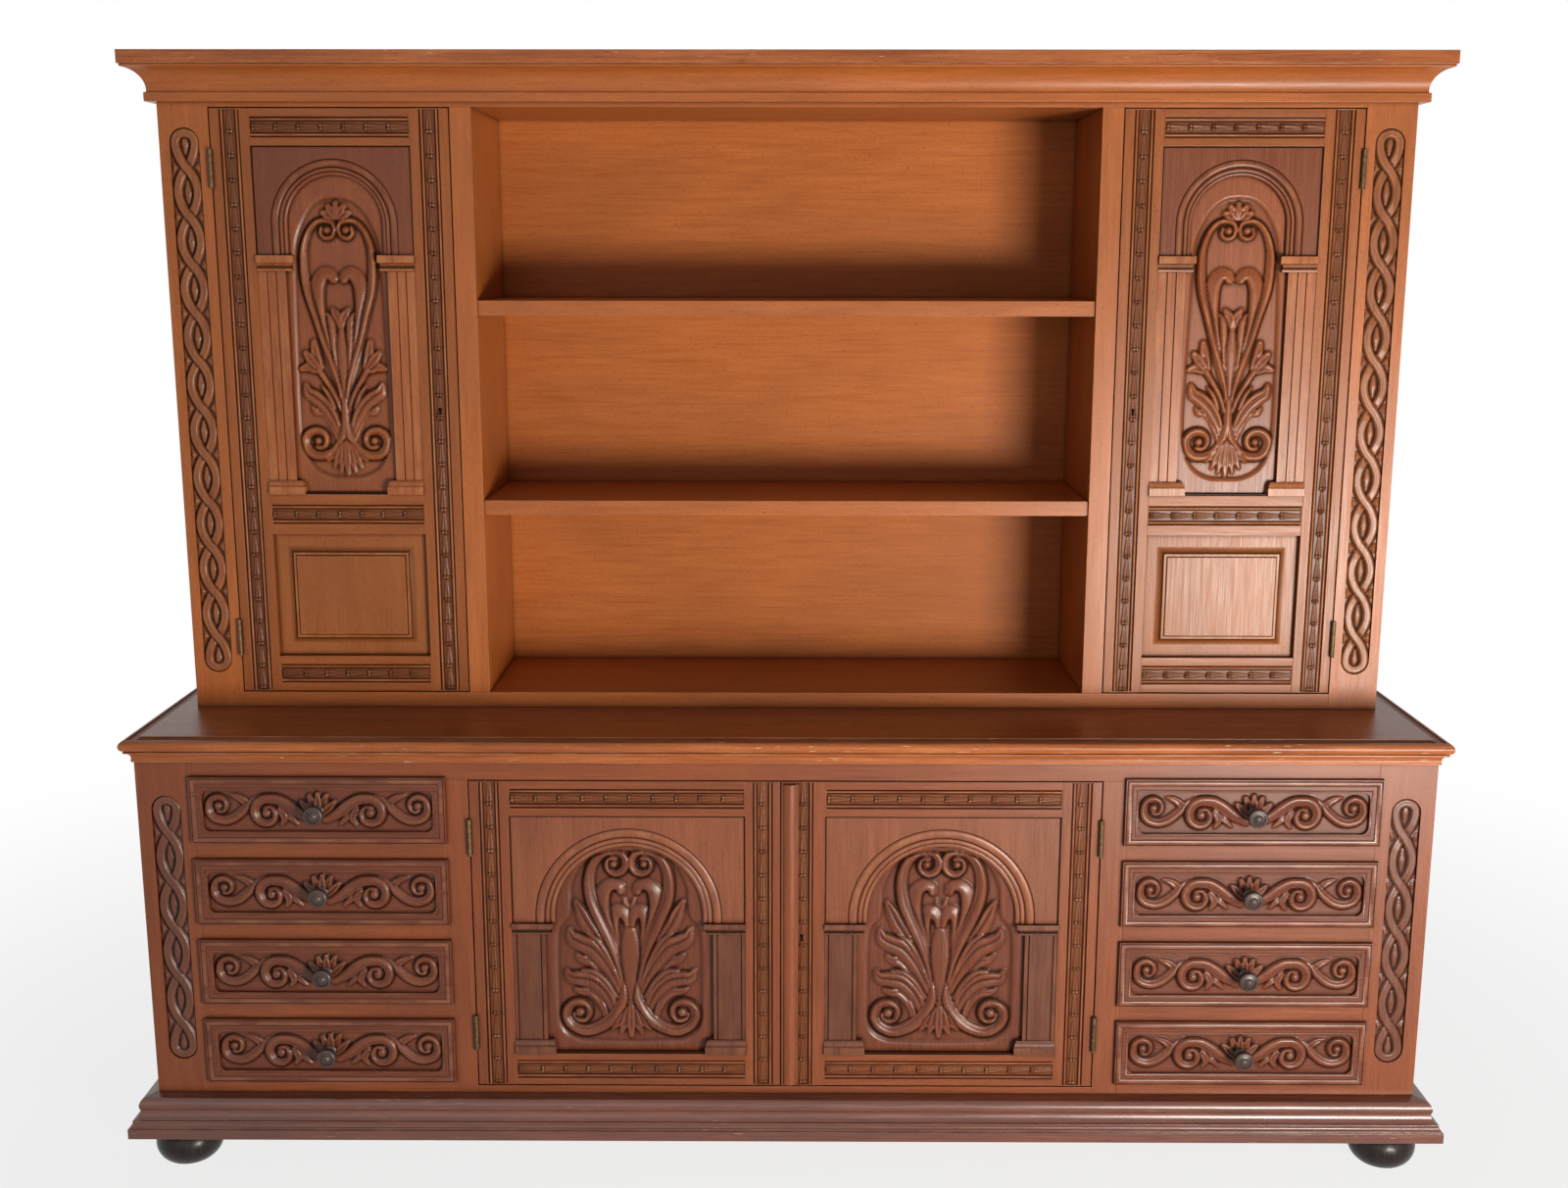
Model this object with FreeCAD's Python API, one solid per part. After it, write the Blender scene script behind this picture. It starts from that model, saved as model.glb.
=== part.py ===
import FreeCAD, Part
import os

# A mahogany buffet cabinet: a wide base with eight drawers and two cupboard doors on bun feet,
# and a hutch above it with three open display bays between two tall cupboards.
# Millimetres. +Z is up, the front faces -Y, X runs across the width, and the floor is at Z = 0.

# Base carcass
base_width = 2200.0
base_depth = 480.0
base_body_height = 621.0
side_thickness = 20.0
partition_thickness = 20.0
frame_thickness = 22.0
back_thickness = 8.0
base_bottom_thickness = 12.0
base_shelf_thickness = 18.0
base_shelf_height_share = 0.48
base_corner_stile_width = 97.0
base_inner_stile_width = 43.0
base_top_rail_height = 50.5
cupboard_opening_width = 1075.0
inner_shelf_setback = 52.0

# Worktop and the moulding under it
worktop_thickness = 22.0
worktop_edge_width = 27.0
worktop_overhang = 18.5
worktop_edge_shares = [(0.63, 0.0), (1.0, 0.455, 0.63, 0.91), (0.36, 0.66, 0.09, 0.86), (0.0, 0.86)]
under_moulding_height = 20.0
under_moulding_projection = 13.0
under_moulding_shares = [(0.30, 0.0), (0.30, 0.16), (0.40, 0.66, 1.0, 0.84), (1.0, 1.0), (0.0, 1.0)]

# Plinth and bun feet
plinth_height = 70.0
plinth_projection = 43.0
plinth_board_thickness = 22.0
plinth_moulding_shares = [(1.0, 0.0), (1.0, 0.257), (0.93, 0.257), (0.93, 0.30), (0.865, 0.32, 0.84, 0.386),
                          (0.84, 0.44), (0.77, 0.44), (0.64, 0.52, 0.58, 0.66), (0.60, 0.84, 0.44, 0.95),
                          (0.0, 1.0)]
foot_block_width = 110.0
foot_block_height = 24.0
foot_height = 68.0
foot_radius = 58.0
foot_inset = 36.0
foot_back_inset = 60.0
foot_profile_shares = [(0.72, 0.0), (1.0, 0.44, 0.80, 0.86), (0.62, 0.90), (0.62, 1.0)]

# Drawers
drawer_count = 4
drawer_bottom_rail_height = 25.5
drawer_rail_height = 39.0
drawer_lip_overlap = 6.0
drawer_lip_projection = 8.0
drawer_front_inset = 14.0
drawer_lip_round = 5.5
drawer_border_width = 22.5
drawer_field_depth = 4.0
drawer_field_corner = 12.0
drawer_side_clearance = 1.0
drawer_top_clearance = 6.0
drawer_side_thickness = 12.0
drawer_bottom_thickness = 6.0
drawer_bottom_rise = 8.0
drawer_groove_depth = 5.0
drawer_box_depth = 420.0
runner_height = 18.0
runner_ledge_width = 12.0
guide_height = 30.0
knob_radius = 16.5
knob_length = 38.0
knob_profile_shares = [(0.62, 0.0), (0.62, 0.10), (0.30, 0.34, 0.50, 0.56), (1.0, 0.66), (1.0, 0.78),
                       (0.93, 0.90, 0.74, 0.93), (0.66, 0.88), (0.46, 0.90), (0.28, 0.97, 0.12, 1.0), (0.0, 1.0)]

# Hutch carcass
hutch_width = 2118.0
hutch_depth = 278.0
hutch_opening_height = 1013.5
hutch_bottom_rail_height = 28.0
hutch_board_thickness = 20.0
hutch_corner_stile_width = 85.0
hutch_inner_stile_width = 36.0
display_width = 1062.6
display_shelf_thickness = 26.0
display_shelf_setback = 5.0
display_bay_count = 3
cornice_gap = 7.5
cornice_height = 58.0
cornice_projection = 46.0
cornice_shares = [(0.335, 0.0), (0.335, 0.257), (0.26, 0.257), (0.423, 0.705, 0.935, 0.93), (0.935, 1.0),
                  (0.0, 1.0)]
hutch_top_thickness = 22.0

# Doors
door_gap = 2.0
door_thickness = 22.0
door_stile_width = 66.0
tongue_thickness = 8.0
tongue_depth = 8.0
tongue_play = 1.0
panel_thickness = 16.0
panel_setback = 3.0
base_door_top_rail = 62.0
base_door_bottom_rail = 58.0
meeting_offset = 7.3
centre_frame_width = 136.0
hutch_door_top_rail = 61.0
hutch_door_middle_rail = 71.0
hutch_door_bottom_rail = 64.0
hutch_lower_panel_height = 220.5
raised_border_width = 37.0
raised_border_depth = 9.0
raised_field_step = 1.5
astragal_width = 28.6
astragal_height = 9.0
astragal_inset = 4.0
astragal_shares = [(0.0, 0.35), (0.14, 0.35), (0.14, 0.55), (0.50, 1.0, 0.86, 0.55), (0.86, 0.35), (1.0, 0.35),
                   (1.0, 0.0)]

# Carved strips on the door frames and tracks on the corner stiles
strip_width = 34.0
strip_depth = 2.5
strip_end_margin = 6.0
reed_radius = 2.5
reed_margin = 4.0
husk_rib_radius = 5.0
track_width = 50.0
track_depth = 3.0
base_track_margin = 60.0
hutch_track_bottom_margin = 64.0
hutch_track_top_margin = 41.0

# Arched niches of the carved door panels
niche_depth = 10.0
arch_step_depths_shares = (0.25, 0.55, 1.0)
base_arch_outer_radius = 161.0
base_arch_inner_radius = 127.0
base_arch_rise = 412.0
base_pilaster_width = 56.0
base_capital_width = 70.0
base_capital_height = 20.0
base_capital_drop = 9.0
base_block_height = 26.0
hutch_arch_outer_radius = 108.5
hutch_arch_inner_radius = 80.5
hutch_arch_rise = 572.0
hutch_pilaster_width = 48.0
hutch_capital_width = 62.0
hutch_capital_height = 27.0
hutch_capital_drop = 52.0
hutch_block_height = 24.0
capital_projection = 7.0
capital_ledge_share = 0.45
block_round_share = 0.45

# Hinges
hinge_length = 65.0
hinge_inset = 99.0
hinge_leaf_width = 18.0
hinge_leaf_thickness = 1.5
hinge_leaf_gap = 0.2
hinge_barrel_radius = 4.0
hinge_barrel_standoff = 0.2
hinge_pin_radius = 2.0
hinge_pin_play = 0.05
knuckle_count = 5
knuckle_gap = 0.3

# Locks and the bolt that holds the left base door
lock_width = 44.0
lock_height = 56.0
lock_thickness = 11.0
lock_edge_inset = 3.0
lock_bolt_length = 34.0
lock_bolt_height = 12.0
lock_bolt_thickness = 5.0
lock_bolt_travel = 10.0
slot_play = 0.2
keyhole_radius = 2.6
keyhole_slot_width = 2.8
keyhole_slot_length = 9.0
base_keyhole_share = 0.72
barrel_bolt_radius = 3.5
barrel_bolt_length = 70.0
barrel_bolt_case_width = 22.0
barrel_bolt_case_height = 50.0
barrel_bolt_case_thickness = 12.0
barrel_bolt_travel = 15.0
barrel_bolt_drop = 2.0

# One fit for all seats that almost touch, and one overrun for all cuts
seat_gap = 0.3
overrun = 12.0

# Levels and planes that follow from the sizes above
base_front = (plinth_projection - base_depth) / 2
back_plane = base_front + base_depth
hutch_front = back_plane - hutch_depth
inner_back = back_plane - back_thickness
plinth_top = foot_height + plinth_height
base_top = plinth_top + base_body_height
worktop_top = base_top + worktop_thickness
base_rail_bottom = base_top - base_top_rail_height
base_floor = plinth_top + base_bottom_thickness
hutch_floor = worktop_top + hutch_bottom_rail_height
hutch_ceiling = hutch_floor + hutch_opening_height
cornice_bottom = hutch_ceiling + cornice_gap
cornice_top = cornice_bottom + cornice_height
base_half = base_width / 2
hutch_half = hutch_width / 2
base_inner = base_half - side_thickness
hutch_inner = hutch_half - side_thickness
cupboard_half = cupboard_opening_width / 2
bay_inner = cupboard_half + base_inner_stile_width
bay_outer = base_half - base_corner_stile_width
base_partition = (cupboard_half + bay_inner - partition_thickness) / 2
display_half = display_width / 2
hutch_opening_inner = display_half + hutch_inner_stile_width
hutch_opening_outer = hutch_half - hutch_corner_stile_width
drawer_bay_bottom = plinth_top + drawer_bottom_rail_height
drawer_bay_height = base_rail_bottom - drawer_bay_bottom
drawer_opening_height = (drawer_bay_height - (drawer_count - 1) * drawer_rail_height) / drawer_count
drawer_pitch = drawer_opening_height + drawer_rail_height
base_frame_back = base_front + frame_thickness
hutch_frame_back = hutch_front + frame_thickness


def block(x_limits, y_limits, z_limits):
    """A squared piece between its limits along X, Y and Z."""
    corner = FreeCAD.Vector(x_limits[0], y_limits[0], z_limits[0])
    return Part.makeBox(x_limits[1] - x_limits[0], y_limits[1] - y_limits[0], z_limits[1] - z_limits[0], corner)


def mirrored(shape):
    """The same piece on the other side of the cabinet."""
    return shape.mirror(FreeCAD.Vector(0, 0, 0), FreeCAD.Vector(1, 0, 0))


def both_sides(pieces):
    """The right-hand pieces followed by their left-hand twins."""
    return pieces + [mirrored(piece) for piece in pieces]


def outline_face(start, stretches, place):
    """A flat face from an outline: a pair is a straight stretch, four values are an arc through a point."""
    edges = []
    here = place(start)
    first = here
    for stretch in stretches:
        there = place(stretch[-2:])
        if len(stretch) == 4:
            edges.append(Part.Arc(here, place(stretch[:2]), there).toShape())
        else:
            edges.append(Part.LineSegment(here, there).toShape())
        here = there
    if here.distanceToPoint(first) > 0:
        edges.append(Part.LineSegment(here, first).toShape())
    return Part.Face(Part.Wire(edges))


def plan_prism(corners, z_low, z_high):
    """An upright prism on a plan outline, used to cut mitres."""
    points = [FreeCAD.Vector(x, y, z_low) for x, y in corners + corners[:1]]
    return Part.Face(Part.makePolygon(points)).extrude(FreeCAD.Vector(0, 0, z_high - z_low))


def mitred_lengths(shares, out_size, up_size, half_width, front, z_low):
    """One moulding run across the front and back along both ends, mitred at the two front corners."""
    reach = out_size + overrun
    z_limits = (z_low - overrun, z_low + up_size + overrun)

    def across(share):
        return FreeCAD.Vector(-half_width - reach, front - share[0] * out_size, z_low + share[1] * up_size)

    def along(share):
        return FreeCAD.Vector(half_width + share[0] * out_size, front - reach, z_low + share[1] * up_size)

    front_length = outline_face((0, 0), shares, across).extrude(FreeCAD.Vector(2 * (half_width + reach), 0, 0))
    front_plan = [(-half_width, front), (half_width, front),
                  (half_width + reach, front - reach), (-half_width - reach, front - reach)]
    side_length = outline_face((0, 0), shares, along).extrude(FreeCAD.Vector(0, back_plane - front + reach, 0))
    side_plan = [(half_width, front), (half_width + reach, front - reach),
                 (half_width + reach, back_plane), (half_width, back_plane)]
    front_piece = front_length.common(plan_prism(front_plan, *z_limits))
    side_piece = side_length.common(plan_prism(side_plan, *z_limits))
    return [front_piece, side_piece, mirrored(side_piece)]


def turned(shares, radius, length, seat, direction):
    """A turned piece: its profile runs out from the seat along the direction and is spun about it."""
    side = FreeCAD.Vector(1, 0, 0)

    def place(share):
        return seat + side * (share[0] * radius) + direction * (share[1] * length)

    return outline_face((0, 0), shares, place).revolve(seat, direction, 360)


# Base carcass

def make_worktop():
    """Worktop board with a hollow and a rounded nose on three edges, and the moulding strips under it."""
    field_half = base_half + worktop_overhang - worktop_edge_width
    field_front = base_front - worktop_overhang + worktop_edge_width
    board = block((-field_half, field_half), (field_front, back_plane), (base_top, worktop_top))
    for edge in mitred_lengths(worktop_edge_shares, worktop_edge_width, worktop_thickness,
                               field_half, field_front, base_top):
        board = board.fuse(edge)
    strips = mitred_lengths(under_moulding_shares, under_moulding_projection, under_moulding_height,
                            base_half, base_front, base_top - under_moulding_height)
    return [board.removeSplitter()] + strips


def make_base_uprights():
    """Two end panels and the two partitions between the drawers and the cupboard."""
    end = block((base_inner, base_half), (base_frame_back, back_plane), (plinth_top, base_top))
    partition = block((base_partition, base_partition + partition_thickness),
                      (base_frame_back, inner_back), (base_floor, base_top))
    return both_sides([end, partition])


def make_back_panels():
    """Thin back boards of the base and of the hutch, let in between the end panels."""
    base_back = block((-base_inner, base_inner), (inner_back, back_plane), (plinth_top, base_top))
    hutch_back = block((-hutch_inner, hutch_inner), (inner_back, back_plane), (worktop_top, cornice_top))
    return [base_back, hutch_back]


def make_base_inside_boards():
    """Floor of the base and the shelf of its cupboard."""
    floor = block((-base_inner, base_inner), (base_frame_back, inner_back), (plinth_top, base_floor))
    shelf_bottom = base_floor + base_shelf_height_share * (base_rail_bottom - base_floor)
    shelf = block((-base_partition, base_partition), (base_frame_back + inner_shelf_setback, inner_back),
                  (shelf_bottom, shelf_bottom + base_shelf_thickness))
    return [floor, shelf]


def track_cut(x_middle, front, z_low, z_high):
    """The shallow round-ended track for the interlaced ribbon on a corner stile."""
    radius = track_width / 2
    cut = block((x_middle - radius, x_middle + radius), (front - overrun, front + track_depth),
                (z_low + radius, z_high - radius))
    for z_end in (z_low + radius, z_high - radius):
        end = Part.makeCylinder(radius, track_depth + overrun, FreeCAD.Vector(x_middle, front - overrun, z_end),
                                FreeCAD.Vector(0, 1, 0))
        cut = cut.fuse(end)
    return cut


def hinge_places(z_low, z_high):
    """Lower ends of the two hinges of a door."""
    return (z_low + hinge_inset - hinge_length / 2, z_high - hinge_inset - hinge_length / 2)


base_door_z = (base_floor + door_gap, base_rail_bottom - door_gap)
hutch_door_z = (hutch_floor + door_gap, hutch_ceiling - door_gap)
leaf_near = hinge_leaf_gap
leaf_far = hinge_leaf_gap + hinge_leaf_thickness


def leaf_pocket(boundary, front, z_low, side):
    """The shallow seat of a hinge leaf, on the frame's side (+1) or the door's side (-1) of the gap."""
    x_limits = sorted((boundary + side * leaf_near, boundary + side * leaf_far))
    return block(x_limits, (front - overrun, front + hinge_leaf_width), (z_low, z_low + hinge_length))


base_hinge_x = cupboard_half - door_gap / 2
hutch_hinge_x = hutch_opening_outer - door_gap / 2


def make_base_corner_stiles():
    """Carved corner posts of the base, each with a recessed track down its face."""
    stile = block((bay_outer, base_half), (base_front, base_frame_back), (plinth_top, base_top))
    middle = (bay_outer + base_half) / 2
    top_limit = base_top - under_moulding_height - base_track_margin
    stile = stile.cut(track_cut(middle, base_front, plinth_top + base_track_margin, top_limit))
    return both_sides([stile])


def make_base_face_frame():
    """Rails and inner stiles of the base front: top rail, door rail, and the rails between the drawers."""
    depth = (base_front, base_frame_back)
    top_rail = block((-bay_outer, bay_outer), depth, (base_rail_bottom, base_top))
    door_rail = block((-cupboard_half, cupboard_half), depth, (plinth_top, base_floor))
    stile = block((cupboard_half, bay_inner), depth, (plinth_top, base_rail_bottom))
    for z_low in hinge_places(*base_door_z):
        stile = stile.cut(leaf_pocket(base_hinge_x, base_front, z_low, 1))
    side_pieces = [stile, block((bay_inner, bay_outer), depth, (plinth_top, drawer_bay_bottom))]
    for index in range(1, drawer_count):
        rail_bottom = drawer_bay_bottom + index * drawer_pitch - drawer_rail_height
        side_pieces.append(block((bay_inner, bay_outer), depth, (rail_bottom, rail_bottom + drawer_rail_height)))
    return [top_rail, door_rail] + both_sides(side_pieces)


def make_drawer_runners():
    """Runners under both sides of each drawer, and guides beside it; the lowest runners stand on the floor."""
    depth = (base_frame_back, inner_back)
    inner_wall = base_partition + partition_thickness
    pieces = []
    for index in range(drawer_count):
        level = drawer_bay_bottom + index * drawer_pitch
        runner_z = (level - runner_height if index else base_floor, level)
        guide_z = (level, level + guide_height)
        pieces.append(block((inner_wall, bay_inner + runner_ledge_width), depth, runner_z))
        pieces.append(block((inner_wall, bay_inner), depth, guide_z))
        pieces.append(block((bay_outer - runner_ledge_width, base_inner), depth, runner_z))
        pieces.append(block((bay_outer, base_inner), depth, guide_z))
    return both_sides(pieces)


# Plinth and feet

def make_plinth_moulding():
    """The stepped plinth moulding, mitred round the front and both ends."""
    return mitred_lengths(plinth_moulding_shares, plinth_projection, plinth_height, base_half, base_front,
                          foot_height)


def make_plinth_frame():
    """The square frame that carries the carcass, with a bearer and four blocks that take the feet."""
    z_limits = (foot_height, plinth_top)
    inner_front = base_front + plinth_board_thickness
    inner_rear = back_plane - plinth_board_thickness
    inner_side = base_half - plinth_board_thickness
    front_board = block((-base_half, base_half), (base_front, inner_front), z_limits)
    rear_board = block((-base_half, base_half), (inner_rear, back_plane), z_limits)
    bearer = block((-plinth_board_thickness / 2, plinth_board_thickness / 2), (inner_front, inner_rear), z_limits)
    side_board = block((inner_side, base_half), (inner_front, inner_rear), z_limits)
    block_x = (inner_side - foot_block_width, inner_side)
    block_z = (foot_height, foot_height + foot_block_height)
    front_block = block(block_x, (inner_front, inner_front + foot_block_width), block_z)
    rear_block = block(block_x, (inner_rear - foot_block_width, inner_rear), block_z)
    return [front_board, rear_board, bearer] + both_sides([side_board, front_block, rear_block])


def make_bun_feet():
    """Four turned bun feet, flat underneath."""
    feet = []
    for y_middle in (base_front + foot_inset, back_plane - foot_back_inset):
        seat = FreeCAD.Vector(base_half - foot_inset, y_middle, 0)
        feet.append(turned(foot_profile_shares + [(0.0, 1.0)], foot_radius, foot_height, seat,
                           FreeCAD.Vector(0, 0, 1)))
    return both_sides(feet)


# Drawers

def drawer_level(number):
    """Bottom of the opening of a drawer, counted from the top one, number 1."""
    return drawer_bay_bottom + (drawer_count - number) * drawer_pitch


def field_prism(x_limits, z_limits, front, depth):
    """A round-cornered rectangle sunk into a front face."""
    cut = block(x_limits, (front - overrun, front + depth), z_limits)
    upright = [edge for edge in cut.Edges if abs(edge.tangentAt(edge.FirstParameter).y) > 0.5]
    return cut.makeFillet(drawer_field_corner, upright)


def make_drawer_front(level):
    """Lipped drawer front: it fills the opening and its rounded lip covers the edges of the frame."""
    lip_front = base_front - drawer_lip_projection
    lip_x = (bay_inner - drawer_lip_overlap, bay_outer + drawer_lip_overlap)
    lip_z = (level - drawer_lip_overlap, level + drawer_opening_height + drawer_lip_overlap)
    lip = block(lip_x, (lip_front, base_front - seat_gap), lip_z)
    face_edges = [edge for edge in lip.Edges if edge.CenterOfMass.y < lip_front + seat_gap]
    lip = lip.makeFillet(drawer_lip_round, face_edges)
    border = drawer_border_width
    lip = lip.cut(field_prism((lip_x[0] + border, lip_x[1] - border), (lip_z[0] + border, lip_z[1] - border),
                              lip_front, drawer_field_depth))
    inset = block((bay_inner + drawer_side_clearance, bay_outer - drawer_side_clearance),
                  (base_front - seat_gap, base_front + drawer_front_inset),
                  (level + drawer_side_clearance, level + drawer_opening_height - drawer_side_clearance))
    inner_x = (bay_inner + drawer_side_clearance + drawer_side_thickness - drawer_groove_depth,
               bay_outer - drawer_side_clearance - drawer_side_thickness + drawer_groove_depth)
    groove_bottom = level + seat_gap + drawer_bottom_rise
    groove = block(inner_x, (base_front + drawer_front_inset - drawer_groove_depth,
                             base_front + drawer_front_inset + overrun),
                   (groove_bottom, groove_bottom + drawer_bottom_thickness))
    return lip.fuse(inset).removeSplitter().cut(groove)


def make_drawer_box(level):
    """Two sides, a back and a thin bottom let into grooves; the sides slide on the runners."""
    outer = (bay_inner + drawer_side_clearance, bay_outer - drawer_side_clearance)
    inner = (outer[0] + drawer_side_thickness, outer[1] - drawer_side_thickness)
    front = base_front + drawer_front_inset
    rear = front + drawer_box_depth
    z_limits = (level + seat_gap, level + drawer_opening_height - drawer_top_clearance)
    bottom_z = (z_limits[0] + drawer_bottom_rise, z_limits[0] + drawer_bottom_rise + drawer_bottom_thickness)
    bottom = block((inner[0] - drawer_groove_depth, inner[1] + drawer_groove_depth),
                   (front - drawer_groove_depth, rear), bottom_z)
    left_side = block((outer[0], inner[0]), (front, rear), z_limits).cut(bottom)
    right_side = block((inner[1], outer[1]), (front, rear), z_limits).cut(bottom)
    rear_board = block(inner, (rear - drawer_side_thickness, rear), (bottom_z[1], z_limits[1]))
    return [left_side, right_side, rear_board, bottom]


def make_knob(level):
    """Turned knob on the ground of the carved field."""
    seat = FreeCAD.Vector((bay_inner + bay_outer) / 2, base_front - drawer_lip_projection + drawer_field_depth,
                          level + drawer_opening_height / 2)
    return turned(knob_profile_shares, knob_radius, knob_length, seat, FreeCAD.Vector(0, -1, 0))


# Hutch carcass

def make_hutch_uprights():
    """End panels of the hutch and the partitions beside the display bays."""
    end = block((hutch_inner, hutch_half), (hutch_frame_back, back_plane), (worktop_top, cornice_top))
    partition = block((display_half, display_half + partition_thickness), (hutch_frame_back, inner_back),
                      (hutch_floor, hutch_ceiling))
    return both_sides([end, partition])


def make_hutch_bottom_and_ceiling():
    """Floor board and ceiling board of the hutch, both running from end to end."""
    depth = (hutch_frame_back, inner_back)
    floor = block((-hutch_inner, hutch_inner), depth, (hutch_floor - hutch_board_thickness, hutch_floor))
    ceiling = block((-hutch_inner, hutch_inner), depth, (hutch_ceiling, hutch_ceiling + hutch_board_thickness))
    return [floor, ceiling]


def make_hutch_shelves():
    """Two display shelves, and two shelves at the same heights in each tall cupboard."""
    bay = (hutch_opening_height - (display_bay_count - 1) * display_shelf_thickness) / display_bay_count
    pieces = []
    for index in range(1, display_bay_count):
        z_low = hutch_floor + index * bay + (index - 1) * display_shelf_thickness
        z_limits = (z_low, z_low + display_shelf_thickness)
        pieces.append(block((-display_half, display_half), (hutch_front + display_shelf_setback, inner_back),
                            z_limits))
        side_shelf = block((display_half + partition_thickness, hutch_inner),
                           (hutch_frame_back + inner_shelf_setback, inner_back), z_limits)
        pieces.extend(both_sides([side_shelf]))
    return pieces


def make_hutch_corner_stiles():
    """Carved corner posts of the hutch."""
    stile = block((hutch_opening_outer, hutch_half), (hutch_front, hutch_frame_back), (worktop_top, cornice_top))
    middle = (hutch_opening_outer + hutch_half) / 2
    stile = stile.cut(track_cut(middle, hutch_front, worktop_top + hutch_track_bottom_margin,
                                cornice_bottom - hutch_track_top_margin))
    for z_low in hinge_places(*hutch_door_z):
        stile = stile.cut(leaf_pocket(hutch_hinge_x, hutch_front, z_low, 1))
    return both_sides([stile])


def make_hutch_face_frame():
    """Top rail, bottom rail and the stiles beside the display bays."""
    depth = (hutch_front, hutch_frame_back)
    across = (-hutch_opening_outer, hutch_opening_outer)
    top_rail = block(across, depth, (hutch_ceiling, cornice_top))
    bottom_rail = block(across, depth, (worktop_top, hutch_floor))
    stile = block((display_half, hutch_opening_inner), depth, (hutch_floor, hutch_ceiling))
    return [top_rail, bottom_rail] + both_sides([stile])


def make_cornice_moulding():
    """Cove moulding under the top board, mitred round the front and both ends."""
    return mitred_lengths(cornice_shares, cornice_projection, cornice_height, hutch_half, hutch_front,
                          cornice_bottom)


def make_hutch_top_board():
    """Square-edged top board that covers the hutch and the cornice."""
    return [block((-hutch_half - cornice_projection, hutch_half + cornice_projection),
                  (hutch_front - cornice_projection, back_plane), (cornice_top, cornice_top + hutch_top_thickness))]


# Doors, drawn on the right-hand side of the cabinet

def add_strip(piece, x_limits, z_limits, front):
    """A sunk strip on a stile or rail: two reeds and a rounded rib for the chain of husks."""
    piece = piece.cut(block(x_limits, (front - overrun, front + strip_depth), z_limits))
    upright = z_limits[1] - z_limits[0] > x_limits[1] - x_limits[0]
    length = max(z_limits[1] - z_limits[0], x_limits[1] - x_limits[0])
    direction = FreeCAD.Vector(0, 0, 1) if upright else FreeCAD.Vector(1, 0, 0)
    floor = front + strip_depth
    reed_offset = strip_width / 2 - reed_margin
    rib_depth = front + husk_rib_radius
    rods = [(-reed_offset, reed_radius, floor), (reed_offset, reed_radius, floor),
            (0, husk_rib_radius, rib_depth)]
    for offset, radius, y_middle in rods:
        if upright:
            start = FreeCAD.Vector((x_limits[0] + x_limits[1]) / 2 + offset, y_middle, z_limits[0])
        else:
            start = FreeCAD.Vector(x_limits[0], y_middle, (z_limits[0] + z_limits[1]) / 2 + offset)
        piece = piece.fuse(Part.makeCylinder(radius, length, start, direction))
    return piece.removeSplitter()


def strip_limits(limits):
    """The strip's width, centred between the edges of the stile or rail that it decorates."""
    middle = (limits[0] + limits[1]) / 2
    return (middle - strip_width / 2, middle + strip_width / 2)


def tongue_room(sight_x, sight_z, front):
    """The groove round a panel's opening, with a little play for the panel to move."""
    grow = tongue_depth + tongue_play
    y_low = front + panel_setback + panel_thickness - tongue_thickness
    return block((sight_x[0] - grow, sight_x[1] + grow), (y_low, y_low + tongue_thickness),
                 (sight_z[0] - grow, sight_z[1] + grow))


def make_door_frame(door_x, door_z, front, sight_x, sights, hinge_x):
    """Two stiles and the rails of a framed door, grooved for its panels and seated for its hinges."""
    depth = (front, front + door_thickness)
    stiles = []
    for x_limits in ((door_x[0], sight_x[0]), (sight_x[1], door_x[1])):
        stile = block(x_limits, depth, door_z)
        stiles.append(add_strip(stile, strip_limits(x_limits),
                                (door_z[0] + strip_end_margin, door_z[1] - strip_end_margin), front))
    for z_low in hinge_places(*door_z):
        stiles[1] = stiles[1].cut(leaf_pocket(hinge_x, front, z_low, -1))
    rails = []
    levels = [door_z[0]] + [level for sight in sights for level in sight] + [door_z[1]]
    for z_limits in zip(levels[0::2], levels[1::2]):
        rail = block(sight_x, depth, z_limits)
        rails.append(add_strip(rail, (sight_x[0] + strip_end_margin, sight_x[1] - strip_end_margin),
                               strip_limits(z_limits), front))
    pieces = stiles + rails
    for sight in sights:
        room = tongue_room(sight_x, sight, front)
        pieces = [piece.cut(room) for piece in pieces]
    return pieces


def panel_board(sight_x, sight_z, front):
    """A panel that fills its opening, with a tongue round it for the groove of the frame."""
    face = front + panel_setback
    board = block(sight_x, (face, face + panel_thickness), sight_z)
    tongue_front = face + panel_thickness - tongue_thickness
    tongue = block((sight_x[0] - tongue_depth, sight_x[1] + tongue_depth),
                   (tongue_front, tongue_front + tongue_thickness),
                   (sight_z[0] - tongue_depth, sight_z[1] + tongue_depth))
    return board.fuse(tongue).removeSplitter()


def arch_prism(x_middle, radius, spring, crown, front, depth):
    """Room under a round arch on straight legs, from the springing line up to the crown."""
    centre_z = crown - radius
    legs = block((x_middle - radius, x_middle + radius), (front - overrun, front + depth), (spring, centre_z))
    head = Part.makeCylinder(radius, depth + overrun, FreeCAD.Vector(x_middle, front - overrun, centre_z),
                             FreeCAD.Vector(0, 1, 0))
    return legs.fuse(head)


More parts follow.
